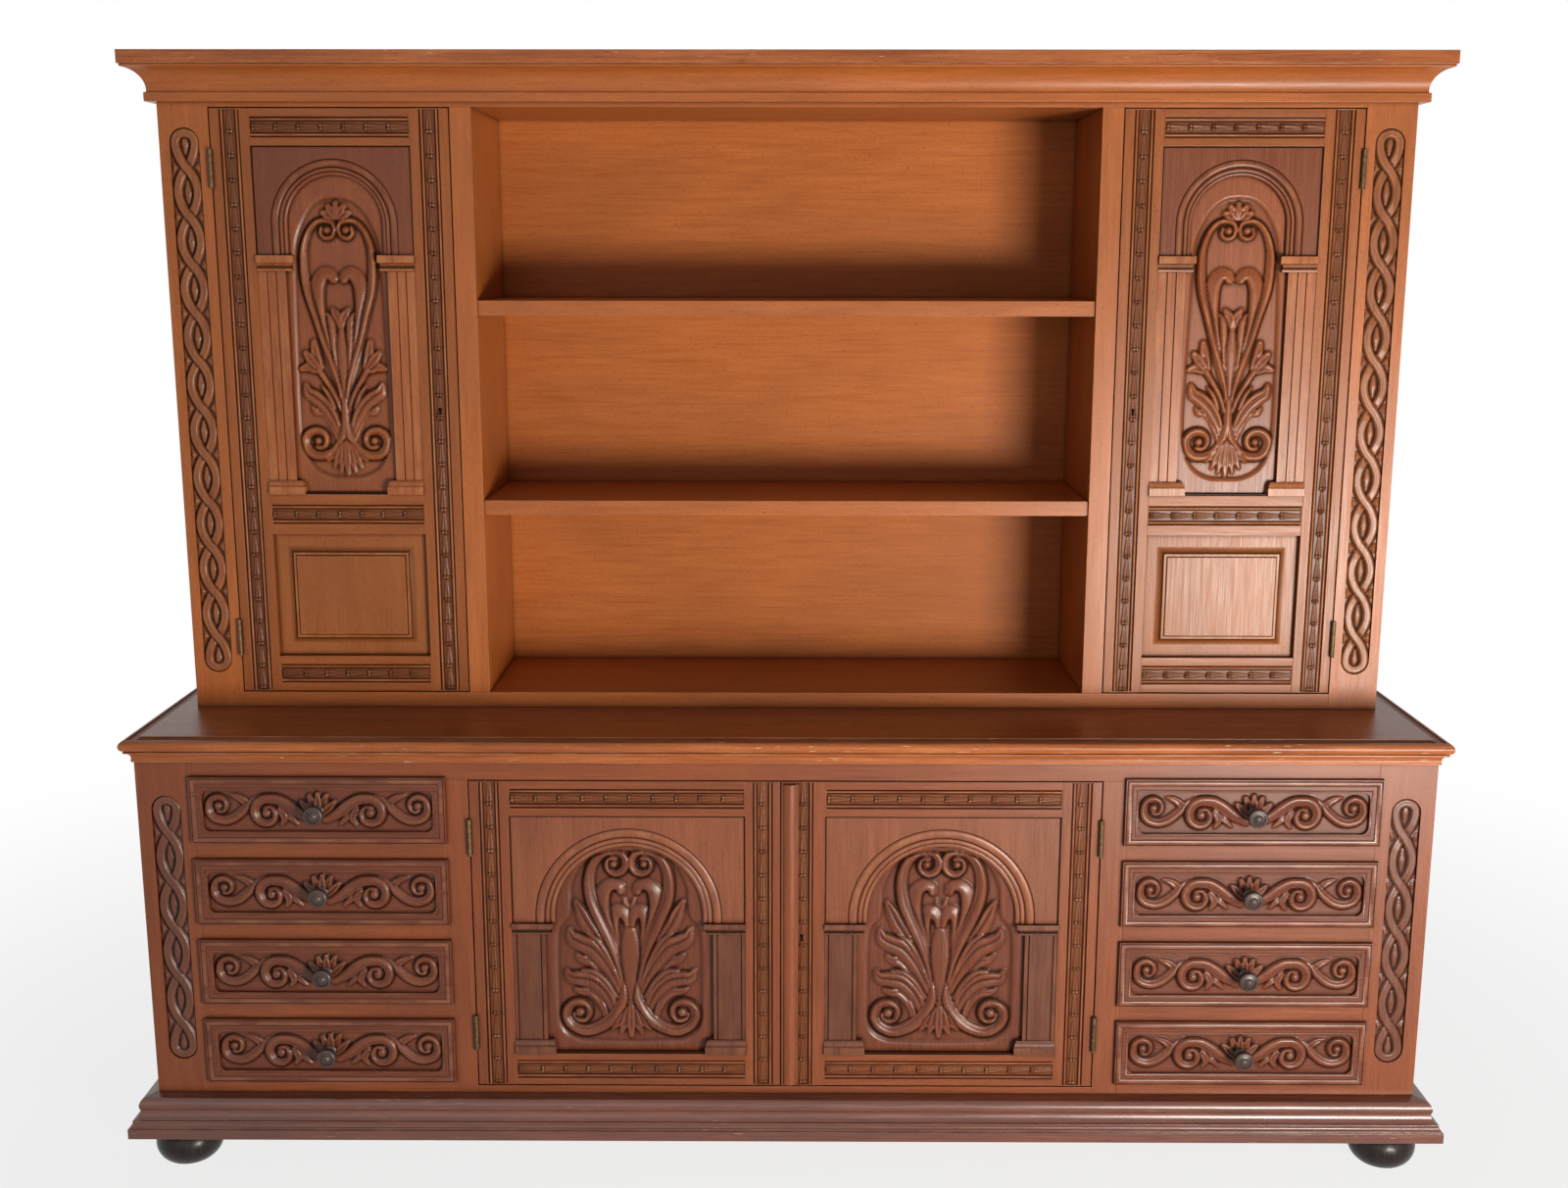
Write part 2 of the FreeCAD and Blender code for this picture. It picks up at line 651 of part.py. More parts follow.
def make_arch_panel(sight_x, sight_z, front, sizes):
    """Carved-panel blank: stepped arch over a niche, with pilasters, capitals and plinth blocks beside it."""
    outer_radius, inner_radius, rise, pilaster, capital_width, capital_height, capital_drop, block_height = sizes
    face = front + panel_setback
    middle = (sight_x[0] + sight_x[1]) / 2
    crown = sight_z[0] + rise
    spring = crown - outer_radius - capital_drop
    panel = panel_board(sight_x, sight_z, front)
    ring = (outer_radius - inner_radius) / (len(arch_step_depths_shares) - 1)
    for index, depth_share in enumerate(arch_step_depths_shares):
        radius = outer_radius - index * ring
        panel = panel.cut(arch_prism(middle, radius, spring, crown - index * ring, face, depth_share * niche_depth))
    niche_x = (sight_x[0] + pilaster, sight_x[1] - pilaster)
    panel = panel.cut(block(niche_x, (face - overrun, face + niche_depth), (sight_z[0], spring)))
    ground = face + niche_depth
    ledge = capital_height * capital_ledge_share
    lower_x = (pilaster + capital_width) / 2
    for x_wall, side in ((sight_x[0], 1), (sight_x[1], -1)):
        shelf_x = sorted((x_wall, x_wall + side * capital_width))
        neck_x = sorted((x_wall, x_wall + side * lower_x))
        proud = (face - capital_projection, ground)
        neck_y = (face - capital_projection * capital_ledge_share, ground)
        panel = panel.fuse(block(shelf_x, proud, (spring - ledge, spring)))
        panel = panel.fuse(block(neck_x, neck_y, (spring - capital_height, spring - ledge)))
        block_step = block_height * block_round_share
        panel = panel.fuse(block(shelf_x, proud, (sight_z[0], sight_z[0] + block_height - block_step)))
        panel = panel.fuse(block(neck_x, neck_y, (sight_z[0] + block_height - block_step,
                                                  sight_z[0] + block_height)))
    return panel.removeSplitter()


def make_raised_panel(sight_x, sight_z, front):
    """Fielded panel: a flat field inside a wide sloping border."""
    face = front + panel_setback
    panel = panel_board(sight_x, sight_z, front)
    border = raised_border_width
    field_x = (sight_x[0] + border, sight_x[1] - border)
    field_z = (sight_z[0] + border, sight_z[1] - border)

    def rectangle(x_limits, z_limits, y_level):
        corners = [(x_limits[0], z_limits[0]), (x_limits[1], z_limits[0]), (x_limits[1], z_limits[1]),
                   (x_limits[0], z_limits[1]), (x_limits[0], z_limits[0])]
        return Part.makePolygon([FreeCAD.Vector(x, y_level, z) for x, z in corners])

    room = block(sight_x, (face - overrun, face + raised_border_depth), sight_z)
    slope = Part.makeLoft([rectangle(sight_x, sight_z, face + raised_border_depth),
                           rectangle(field_x, field_z, face + raised_field_step)], True, True)
    field = block(field_x, (face, face + raised_field_step), field_z)
    return panel.cut(room.cut(slope).cut(field)).removeSplitter()


def knuckles(boundary, front, z_low, indices, side):
    """Barrel pieces of one hinge leaf, each with a web that ties it to the leaf."""
    axis_y = front - hinge_barrel_radius - hinge_barrel_standoff
    pitch = hinge_length / knuckle_count
    web_x = sorted((boundary + side * leaf_near, boundary + side * leaf_far))
    solids = []
    for index in indices:
        low = z_low + index * pitch + knuckle_gap / 2
        height = pitch - knuckle_gap
        solids.append(Part.makeCylinder(hinge_barrel_radius, height, FreeCAD.Vector(boundary, axis_y, low)))
        solids.append(block(web_x, (axis_y, front + hinge_barrel_standoff), (low, low + height)))
    return solids, axis_y


def make_hinge_leaf(boundary, front, z_low, side):
    """One leaf of a butt hinge; the frame's leaf (side +1) also carries the pin."""
    x_limits = sorted((boundary + side * leaf_near, boundary + side * leaf_far))
    leaf = block(x_limits, (front + hinge_barrel_standoff, front + hinge_leaf_width),
                 (z_low, z_low + hinge_length))
    fixed = side > 0
    solids, axis_y = knuckles(boundary, front, z_low, range(0 if fixed else 1, knuckle_count, 2), side)
    for solid in solids:
        leaf = leaf.fuse(solid)
    pin_radius = hinge_pin_radius if fixed else hinge_pin_radius + hinge_pin_play
    pin = Part.makeCylinder(pin_radius, hinge_length, FreeCAD.Vector(boundary, axis_y, z_low))
    leaf = leaf.fuse(pin) if fixed else leaf.cut(pin)
    return leaf.removeSplitter()


def make_hinge_fixed_leaves():
    """Frame-side leaves and pins of all eight butt hinges."""
    leaves = [make_hinge_leaf(base_hinge_x, base_front, z_low, 1) for z_low in hinge_places(*base_door_z)]
    leaves += [make_hinge_leaf(hutch_hinge_x, hutch_front, z_low, 1) for z_low in hinge_places(*hutch_door_z)]
    return both_sides(leaves)


def lock_bolt_block(door_edge, door_back, z_middle, play):
    """The bolt of a cupboard lock, drawn back; play widens it into the slot of its case."""
    x_low = door_edge + lock_edge_inset
    y_middle = door_back + lock_thickness / 2
    thickness = lock_bolt_thickness / 2 + play
    height = lock_bolt_height / 2 + play
    return block((x_low, x_low + lock_bolt_length), (y_middle - thickness, y_middle + thickness),
                 (z_middle - height, z_middle + height))


def make_lock_case(door_edge, door_back, z_middle):
    """Surface lock on the back of a door, open at its edge for the bolt."""
    x_low = door_edge + lock_edge_inset
    case = block((x_low, x_low + lock_width), (door_back, door_back + lock_thickness),
                 (z_middle - lock_height / 2, z_middle + lock_height / 2))
    return case.cut(lock_bolt_block(door_edge, door_back, z_middle, slot_play))


def keyhole_cut(x_middle, z_middle, front):
    """A keyhole through a door stile: a round hole over a narrow slot."""
    length = door_thickness + 2 * overrun
    round_part = Part.makeCylinder(keyhole_radius, length, FreeCAD.Vector(x_middle, front - overrun, z_middle),
                                   FreeCAD.Vector(0, 1, 0))
    slot = block((x_middle - keyhole_slot_width / 2, x_middle + keyhole_slot_width / 2),
                 (front - overrun, front - overrun + length), (z_middle - keyhole_slot_length, z_middle))
    return round_part.fuse(slot)


base_sight_z = (base_door_z[0] + base_door_bottom_rail, base_door_z[1] - base_door_top_rail)
base_sight_x = (centre_frame_width / 2, base_hinge_x - door_gap / 2 - door_stile_width)
base_door_outer = base_hinge_x - door_gap / 2
left_door_edge = meeting_offset + door_gap / 2
right_door_edge = -meeting_offset + door_gap / 2
base_door_back = base_front + door_thickness
base_lock_z = (base_door_z[0] + base_door_z[1]) / 2
base_arch_sizes = (base_arch_outer_radius, base_arch_inner_radius, base_arch_rise, base_pilaster_width,
                   base_capital_width, base_capital_height, base_capital_drop, base_block_height)


def make_base_door_left():
    """Left base door, with a barrel bolt on the back of its meeting stile."""
    frame = make_door_frame((left_door_edge, base_door_outer), base_door_z, base_front, base_sight_x,
                            [base_sight_z], base_hinge_x)
    panel = make_arch_panel(base_sight_x, base_sight_z, base_front, base_arch_sizes)
    leaves = [make_hinge_leaf(base_hinge_x, base_front, z_low, -1) for z_low in hinge_places(*base_door_z)]
    bolt_x = (left_door_edge + base_sight_x[0]) / 2
    bolt_y = base_door_back + barrel_bolt_case_thickness / 2
    bolt_top = base_door_z[1] - barrel_bolt_drop
    bolt_foot = FreeCAD.Vector(bolt_x, bolt_y, bolt_top - barrel_bolt_length)
    case = block((bolt_x - barrel_bolt_case_width / 2, bolt_x + barrel_bolt_case_width / 2),
                 (base_door_back, base_door_back + barrel_bolt_case_thickness),
                 (bolt_top - barrel_bolt_drop - barrel_bolt_case_height, bolt_top - barrel_bolt_drop))
    case = case.cut(Part.makeCylinder(barrel_bolt_radius + slot_play, barrel_bolt_length + 2 * overrun,
                                      bolt_foot - FreeCAD.Vector(0, 0, overrun)))
    bolt = Part.makeCylinder(barrel_bolt_radius, barrel_bolt_length, bolt_foot)
    save("base_door_left_frame", [mirrored(piece) for piece in frame])
    save("base_door_left_panel", [mirrored(panel)])
    save("base_door_left_hardware", [mirrored(piece) for piece in leaves + [case]])
    save("base_door_left_bolt", [mirrored(bolt)])


def make_base_door_right():
    """Right base door, with the lock and the rounded strip that covers the meeting of the doors."""
    frame = make_door_frame((right_door_edge, base_door_outer), base_door_z, base_front, base_sight_x,
                            [base_sight_z], base_hinge_x)

    def place(share):
        return FreeCAD.Vector(right_door_edge + share[0] * astragal_width, base_front - share[1] * astragal_height,
                              base_door_z[0] + astragal_inset)

    height = base_door_z[1] - base_door_z[0] - 2 * astragal_inset
    astragal = outline_face((0, 0), astragal_shares, place).extrude(FreeCAD.Vector(0, 0, height))
    keyhole_x = right_door_edge + lock_edge_inset + lock_width * base_keyhole_share
    frame[0] = frame[0].cut(keyhole_cut(keyhole_x, base_lock_z, base_front))
    panel = make_arch_panel(base_sight_x, base_sight_z, base_front, base_arch_sizes)
    leaves = [make_hinge_leaf(base_hinge_x, base_front, z_low, -1) for z_low in hinge_places(*base_door_z)]
    case = make_lock_case(right_door_edge, base_door_back, base_lock_z)
    save("base_door_right_frame", frame + [astragal])
    save("base_door_right_panel", [panel])
    save("base_door_right_hardware", leaves + [case])
    save("base_door_right_bolt", [lock_bolt_block(right_door_edge, base_door_back, base_lock_z, 0)])


hutch_door_x = (hutch_opening_inner + door_gap, hutch_hinge_x - door_gap / 2)
hutch_sight_x = (hutch_door_x[0] + door_stile_width, hutch_door_x[1] - door_stile_width)
lower_sight_z = (hutch_door_z[0] + hutch_door_bottom_rail,
                 hutch_door_z[0] + hutch_door_bottom_rail + hutch_lower_panel_height)
upper_sight_z = (lower_sight_z[1] + hutch_door_middle_rail, hutch_door_z[1] - hutch_door_top_rail)
hutch_door_back = hutch_front + door_thickness
hutch_lock_z = (hutch_door_z[0] + hutch_door_z[1]) / 2
hutch_arch_sizes = (hutch_arch_outer_radius, hutch_arch_inner_radius, hutch_arch_rise, hutch_pilaster_width,
                    hutch_capital_width, hutch_capital_height, hutch_capital_drop, hutch_block_height)


def make_hutch_door(side_name, turn):
    """Tall hutch door: a carved arch panel over a fielded panel, with a surface lock on its inner stile."""
    frame = make_door_frame(hutch_door_x, hutch_door_z, hutch_front, hutch_sight_x,
                            [lower_sight_z, upper_sight_z], hutch_hinge_x)
    keyhole_x = (hutch_door_x[0] + hutch_sight_x[0]) / 2
    frame[0] = frame[0].cut(keyhole_cut(keyhole_x, hutch_lock_z, hutch_front))
    arch_panel = make_arch_panel(hutch_sight_x, upper_sight_z, hutch_front, hutch_arch_sizes)
    raised_panel = make_raised_panel(hutch_sight_x, lower_sight_z, hutch_front)
    leaves = [make_hinge_leaf(hutch_hinge_x, hutch_front, z_low, -1) for z_low in hinge_places(*hutch_door_z)]
    case = make_lock_case(hutch_door_x[0], hutch_door_back, hutch_lock_z)
    bolt = lock_bolt_block(hutch_door_x[0], hutch_door_back, hutch_lock_z, 0)
    save("hutch_door_" + side_name + "_frame", turn(frame))
    save("hutch_door_" + side_name + "_arch_panel", turn([arch_panel]))
    save("hutch_door_" + side_name + "_raised_panel", turn([raised_panel]))
    save("hutch_door_" + side_name + "_hardware", turn(leaves + [case]))
    save("hutch_door_" + side_name + "_bolt", turn([bolt]))


def as_drawn(pieces):
    """Pieces kept on the right-hand side."""
    return pieces


def turned_over(pieces):
    """Pieces mirrored to the left-hand side."""
    return [mirrored(piece) for piece in pieces]


def save(name, solids):
    """Write one node: a single solid, or a group of separate solids."""
    shape = solids[0] if len(solids) == 1 else Part.makeCompound(solids)
    shape.exportStep(os.path.join("parts", name + ".step"))


os.makedirs("parts", exist_ok=True)

save("base_top", make_worktop())
save("base_uprights", make_base_uprights())
save("back_panels", make_back_panels())
save("base_inside_boards", make_base_inside_boards())
save("base_corner_stiles", make_base_corner_stiles())
save("base_face_frame", make_base_face_frame())
save("drawer_runners", make_drawer_runners())
save("plinth_moulding", make_plinth_moulding())
save("plinth_frame", make_plinth_frame())
save("bun_feet", make_bun_feet())
save("hutch_uprights", make_hutch_uprights())
save("hutch_bottom_and_ceiling", make_hutch_bottom_and_ceiling())
save("hutch_shelves", make_hutch_shelves())
save("hutch_corner_stiles", make_hutch_corner_stiles())
save("hutch_face_frame", make_hutch_face_frame())
save("cornice_moulding", make_cornice_moulding())
save("hutch_top_board", make_hutch_top_board())
save("hinge_fixed_leaves", make_hinge_fixed_leaves())

for side_name, turn in (("right", as_drawn), ("left", turned_over)):
    for number in range(1, drawer_count + 1):
        name = "drawer_" + side_name + "_" + str(number)
        level = drawer_level(number)
        save(name + "_front", turn([make_drawer_front(level)]))
        save(name + "_box", turn(make_drawer_box(level)))
        save(name + "_knob", turn([make_knob(level)]))
    make_hutch_door(side_name, turn)

make_base_door_left()
make_base_door_right()
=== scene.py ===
# Buffet cabinet with hutch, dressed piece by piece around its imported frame
import itertools
import math

import bmesh
import bpy
import numpy as np
from mathutils import Matrix, Vector
from mathutils.geometry import tessellate_polygon


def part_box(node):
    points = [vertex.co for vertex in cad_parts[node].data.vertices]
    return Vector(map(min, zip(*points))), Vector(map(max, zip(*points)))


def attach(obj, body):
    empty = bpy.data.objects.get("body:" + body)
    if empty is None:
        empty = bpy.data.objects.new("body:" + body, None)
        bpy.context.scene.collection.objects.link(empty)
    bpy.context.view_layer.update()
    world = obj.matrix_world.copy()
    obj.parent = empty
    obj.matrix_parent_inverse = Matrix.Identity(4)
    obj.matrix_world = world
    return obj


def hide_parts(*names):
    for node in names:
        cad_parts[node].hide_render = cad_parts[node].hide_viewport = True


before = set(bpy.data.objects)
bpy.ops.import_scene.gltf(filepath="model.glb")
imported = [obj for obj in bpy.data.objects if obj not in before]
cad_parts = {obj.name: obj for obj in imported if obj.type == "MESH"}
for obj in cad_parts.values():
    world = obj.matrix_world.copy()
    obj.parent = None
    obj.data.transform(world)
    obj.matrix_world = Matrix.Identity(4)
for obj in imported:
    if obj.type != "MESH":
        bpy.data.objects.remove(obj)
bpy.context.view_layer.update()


# Bun feet
# Four feet turned from solid hardwood, a squashed ball under a short neck, stained nearly black and waxed.
# Each one is dowelled and glued into a block of the plinth frame.

MM = 0.001
# Points this close are one, faces this flat are one, corners this sharp are eased, and folds this sharp show
WELD = 0.002 * MM
FLAT_ANGLE = math.radians(0.5)
CORNER_ANGLE = math.radians(50.0)
SHARP_ANGLE = math.radians(38.0)
# Each board comes from another place in a log of this size, a golden step after the last
LOG_SIZE = np.array([5.0, 2.0, 2.0])
LOG_STEPS = 0.61803 * np.array([7.3, 3.1, 1.7])
board_numbers = itertools.count(1)
# How dark sunk ground is painted, as old wax and painted shade, and how far from the ground's level it
# reaches
SUNK_WAX_AND_SHADE = -0.75
SUNK_NEAR = 0.4 * MM


def solids_of(node):
    """Each closed solid of a CAD node as (points, faces), in the order in which they were packed."""
    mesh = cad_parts[node].data
    points = np.array([vertex.co for vertex in mesh.vertices])
    keys = {}
    weld = [keys.setdefault(tuple(key), len(keys)) for key in np.round(points / WELD).astype(int)]
    place = np.zeros((len(keys), 3))
    place[weld] = points
    solids, faces, open_edges = [], [], set()
    for polygon in mesh.polygons:
        corners = [weld[index] for index in polygon.vertices]
        if len(set(corners)) < len(corners):
            continue
        faces.append(corners)
        for edge in zip(corners, corners[1:] + corners[:1]):
            if edge[::-1] in open_edges:
                open_edges.discard(edge[::-1])
            else:
                open_edges.add(edge)
        if not open_edges:
            used = sorted({index for corners in faces for index in corners})
            number = {index: count for count, index in enumerate(used)}
            solids.append((place[used], [[number[index] for index in corners] for corners in faces]))
            faces = []
    return solids


def limits(solid):
    """Lowest and highest corner of a solid."""
    return solid[0].min(0), solid[0].max(0)


def grain_of(points, axis=None):
    """Each point in its board's own measure, first along the grain, at a place of its own in the log."""
    low, high = points.min(0), points.max(0)
    along = int(np.argmax(high - low)) if axis is None else "xyz".index(axis)
    order = [along] + [other for other in range(3) if other != along]
    return (points - (low + high) / 2)[:, order] + next(board_numbers) * LOG_STEPS % LOG_SIZE


def mesh_object(name, points, faces, grain, relief, finish, body, slot, smooth=False):
    """A piece made of these points and faces, with its grain and its relief: hollows (-1), painted dark as
    shade and old wax, and ridges (1), rubbed pale and partly a painted highlight.
    """
    mesh = bpy.data.meshes.new(name)
    mesh.from_pydata(points, [], faces)
    mesh.attributes.new("grain", "FLOAT_VECTOR", "POINT").data.foreach_set(
        "vector", np.asarray(grain, np.float32).ravel())
    mesh.attributes.new("relief", "FLOAT", "POINT").data.foreach_set(
        "value", np.asarray(relief, np.float32).ravel())
    mesh.shade_smooth()
    piece = bpy.data.objects.new(name, mesh)
    bpy.context.scene.collection.objects.link(piece)
    if not smooth:
        mesh.set_sharp_from_angle(angle=SHARP_ANGLE)
        weighted = piece.modifiers.new("flat faces stay flat", "WEIGHTED_NORMAL")
        weighted.keep_sharp = True
    mesh.materials.append(finish)
    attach(piece, body)
    return piece


def eased(solid, ease, axis=None):
    """A solid with every corner eased, as points, faces, grain and relief."""
    points, faces = solid
    work = bmesh.new()
    for point in points:
        work.verts.new(point)
    work.verts.ensure_lookup_table()
    for corners in faces:
        if len(set(corners)) > 2:
            work.faces.new([work.verts[index] for index in corners])
    bmesh.ops.dissolve_limit(work, angle_limit=FLAT_ANGLE, verts=work.verts, edges=work.edges)
    bmesh.ops.recalc_face_normals(work, faces=work.faces)
    corners = [edge for edge in work.edges
               if edge.is_manifold and edge.calc_face_angle(0.0) > CORNER_ANGLE
               and edge.calc_length() > 3 * ease]
    rounded = bmesh.ops.bevel(work, geom=corners, offset=ease, segments=2, profile=0.5, affect="EDGES",
                              clamp_overlap=True)
    worn = set(rounded["faces"])
    work.verts.index_update()
    placed = np.array([vertex.co for vertex in work.verts])
    relief = [1.0 if all(face in worn for face in vertex.link_faces) else 0.0 for vertex in work.verts]
    outline = [[vertex.index for vertex in face.verts] for face in work.faces]
    work.free()
    return placed, outline, grain_of(placed, axis), relief


def gathered(parts):
    """Several parts, each points, faces, grain and relief, as one."""
    points, faces, grain, relief = [], [], [], []
    for part in parts:
        start = sum(len(block) for block in points)
        points.append(part[0])
        faces += [[start + index for index in corners] for corners in part[1]]
        grain.append(part[2])
        relief += list(part[3])
    return np.concatenate(points), faces, np.concatenate(grain), relief


def joined_boards(name, nodes, finish, body, slot, ease=0.8 * MM, axis=None, shaped=None, sunk=None):
    """The solids of these CAD nodes as worked timber that replaces them.

    A function may reshape them first, and ground that is sunk to y = sunk is painted dark, as old wax and
    painted shade."""
    solids = [solid for node in nodes for solid in solids_of(node)]
    if shaped:
        solids = [shaped(points.copy(), faces) for points, faces in solids]
    points, faces, grain, relief = gathered([eased(solid, ease, axis) for solid in solids])
    if sunk is not None:
        relief = np.where(abs(points[:, 1] - sunk) < SUNK_NEAR, SUNK_WAX_AND_SHADE, relief)
    piece = mesh_object(name, points, faces, grain, relief, finish, body, slot)
    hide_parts(*nodes)
    return piece


def linear(colour):
    """An sRGB hex colour as linear red, green, blue and alpha."""
    channels = [int(colour[start:start + 2], 16) / 255 for start in (1, 3, 5)]
    return tuple(c / 12.92 if c <= 0.04045 else ((c + 0.055) / 1.055) ** 2.4 for c in channels) + (1.0,)


def add(tree, kind, inputs=(), **settings):
    """Adds a node. An input is given a value, or a socket that is linked to it."""
    node = tree.nodes.new(kind)
    for name, value in settings.items():
        setattr(node, name, value)
    for key, value in dict(inputs).items():
        if isinstance(value, bpy.types.NodeSocket):
            tree.links.new(value, node.inputs[key])
        else:
            node.inputs[key].default_value = value
    return node


def ramp(tree, factor, stops):
    """A colour ramp through (position, linear colour) stops."""
    node = add(tree, "ShaderNodeValToRGB", {0: factor})
    node.color_ramp.elements[0].position, node.color_ramp.elements[0].color = stops[0]
    node.color_ramp.elements[1].position, node.color_ramp.elements[1].color = stops[-1]
    for position, colour in stops[1:-1]:
        node.color_ramp.elements.new(position).color = colour
    return node


def plain_stop(value):
    """A grey of that value."""
    return (value, value, value, 1.0)


def timber(name, dark, middle, light, grime_and_shade, rubbed_and_highlight, roughness, figure=14 * MM, scuffs=0.0,
           gloss=0.3):
    """Polished timber. The figure's bands are that wide across the grain and fifteen times as long."""
    made = bpy.data.materials.new(name)
    made.use_nodes = True
    tree = made.node_tree
    shader = tree.nodes["Principled BSDF"]
    grain = add(tree, "ShaderNodeAttribute", attribute_name="grain").outputs["Vector"]
    relief = add(tree, "ShaderNodeAttribute", attribute_name="relief").outputs["Fac"]

    def stretched(along, across, detail, distortion=0.0, rough=0.5):
        scale = (1.0 / along, 1.0 / across, 1.0 / across)
        place = add(tree, "ShaderNodeVectorMath", {0: grain, 1: scale}, operation="MULTIPLY").outputs[0]
        return add(tree, "ShaderNodeTexNoise", {"Vector": place, "Scale": 1.0, "Detail": detail,
                                                "Roughness": rough, "Distortion": distortion}).outputs[0]

    bands = stretched(14 * figure, figure, 3.0, 0.5)
    # Growth streaks about 2 mm wide. Pores are really 0.2 mm wide, and drawn 0.7 mm wide so that they show.
    streaks = stretched(90 * MM, 2.2 * MM, 2.0, 0.2)
    pores = stretched(9 * MM, 0.7 * MM, 1.0)
    # Broad clouds where the stain took more or less
    clouds = stretched(420 * MM, 150 * MM, 2.0, 0.4)
    mixed = add(tree, "ShaderNodeMix", {0: 0.5, 2: bands, 3: streaks}).outputs[0]
    colour = ramp(tree, mixed, [(0.32, linear(dark)), (0.5, linear(middle)),
                                (0.68, linear(light))]).outputs[0]
    shade = ramp(tree, clouds, [(0.3, plain_stop(0.86)), (0.7, plain_stop(1.08))]).outputs[0]
    colour = add(tree, "ShaderNodeMix", {0: 1.0, 6: colour, 7: shade}, data_type="RGBA",
                 blend_type="MULTIPLY").outputs[2]
    pore_mask = ramp(tree, pores, [(0.60, plain_stop(0.0)), (0.72, plain_stop(0.55))]).outputs[0]
    colour = add(tree, "ShaderNodeMix", {0: pore_mask, 6: colour, 7: linear(grime_and_shade)},
                 data_type="RGBA").outputs[2]
    # Painted shade, with old wax and dust: carved hollows, from the relief, and every inner corner, from
    # ambient occlusion, are darkened towards the dark colour
    hollow = add(tree, "ShaderNodeMapRange", {0: relief, 1: 0.0, 2: -1.0, 3: 0.0, 4: 0.95}).outputs[0]
    corner = add(tree, "ShaderNodeAmbientOcclusion", {"Distance": 9 * MM}, samples=4).outputs["AO"]
    wax_and_shade = add(tree, "ShaderNodeMapRange", {0: corner, 1: 0.85, 2: 0.3, 3: 0.0, 4: 0.8}).outputs[0]
    wax_and_shade = add(tree, "ShaderNodeMath", {0: hollow, 1: wax_and_shade}, operation="MAXIMUM").outputs[0]
    colour = add(tree, "ShaderNodeMix", {0: wax_and_shade, 6: colour, 7: linear(grime_and_shade)}, data_type="RGBA").outputs[2]
    # Ridges rubbed pale by hands and dusters, here more and there less; on carved crests, beads and rolls
    # the paleness is also a painted highlight
    rubbing = stretched(60 * MM, 25 * MM, 3.0)
    handled = ramp(tree, rubbing, [(0.42, plain_stop(0.0)), (0.6, plain_stop(0.5))]).outputs[0]
    ridge = add(tree, "ShaderNodeMath", {0: relief, 1: handled}, operation="MULTIPLY",
                use_clamp=True).outputs[0]
    colour = add(tree, "ShaderNodeMix", {0: ridge, 6: colour, 7: linear(rubbed_and_highlight)},
                 data_type="RGBA").outputs[2]
    if scuffs:
        # Scratches of a few centimetres that went through the polish to pale wood
        streak = stretched(30 * MM, 1.6 * MM, 1.0)
        patch = stretched(160 * MM, 60 * MM, 1.0)
        streak = ramp(tree, streak, [(0.70, plain_stop(0.0)), (0.74, plain_stop(1.0))]).outputs[0]
        patch = ramp(tree, patch, [(0.5, plain_stop(0.0)), (0.6, plain_stop(scuffs))]).outputs[0]
        scratch = add(tree, "ShaderNodeMath", {0: streak, 1: patch}, operation="MULTIPLY").outputs[0]
        colour = add(tree, "ShaderNodeMix", {0: scratch, 6: colour, 7: linear(rubbed_and_highlight)},
                     data_type="RGBA").outputs[2]
    tree.links.new(colour, shader.inputs["Base Color"])
    sheen = add(tree, "ShaderNodeMapRange", {0: streaks, 1: 0.3, 2: 0.7, 3: roughness - 0.06,
                                             4: roughness + 0.08}).outputs[0]
    tree.links.new(sheen, shader.inputs["Roughness"])
    height = add(tree, "ShaderNodeMix", {0: 0.35, 2: streaks, 3: pores}).outputs[0]
    bump = add(tree, "ShaderNodeBump", {"Strength": 0.2, "Distance": 0.2 * MM, "Height": height}).outputs[0]
    tree.links.new(bump, shader.inputs["Normal"])
    shader.inputs["IOR"].default_value = 1.5
    # The wax and dust are matt: the specular level falls where that painted shade and wax darken the colour
    shine = add(tree, "ShaderNodeMapRange", {0: wax_and_shade, 3: gloss, 4: gloss / 6}).outputs[0]
    tree.links.new(shine, shader.inputs["Specular IOR Level"])
    return made


# Close-grained hardwood under black stain and wax: nearly no colour left, broad soft highlights
black_wood = timber("ebonised_hardwood", "#120C0A", "#1E1512", "#2C201B", "#0C0807", "#4A382F", 0.3,
                    gloss=0.27)
# The same hardwood on the knobs, where hands have rubbed some of the stain off
knob_wood = timber("ebonised_hardwood_handled", "#34251F", "#402F28", "#4E3B32", "#120C09", "#80695A", 0.34,
                   gloss=0.5)
joined_boards("bun_feet_turned", ["bun_feet"], black_wood, "carcass", "dark_stained_wood", axis="z")


# Plinth
# A frame of plain boards under the base, faced with a broad mahogany moulding that is mitred at both front
# corners and glued on. It is the darkest of the polished wood, and its foot is scuffed by shoes and brooms.

# Mahogany under old brown polish, kicked and dusty near the floor
plinth_wood = timber("mahogany_plinth", "#5B3023", "#673829", "#744332", "#1E0D08", "#B08A6C", 0.28,
                     gloss=0.7, scuffs=0.8)
# Unpolished hardwood of the parts that nobody sees, pale brown and dry
inside_wood = timber("plain_hardwood", "#9A7048", "#B48A5E", "#C69F73", "#5C3F27", "#D2B48C", 0.62)
joined_boards("plinth_moulding_boards", ["plinth_moulding"], plinth_wood, "carcass", "mahogany")
joined_boards("plinth_frame_boards", ["plinth_frame"], inside_wood, "carcass", "hardwood")


# Base carcass
# Ends, partitions, floor and shelf of solid mahogany, housed into each other and glued, with plain hardwood
# runners for the drawers and thin veneered boards nailed on behind.

# Mahogany of the base, brown with a red cast under satin polish
base_wood = timber("mahogany_base", "#723A1B", "#7F4120", "#8B4A25", "#26100A", "#AC7449", 0.34, gloss=0.38)
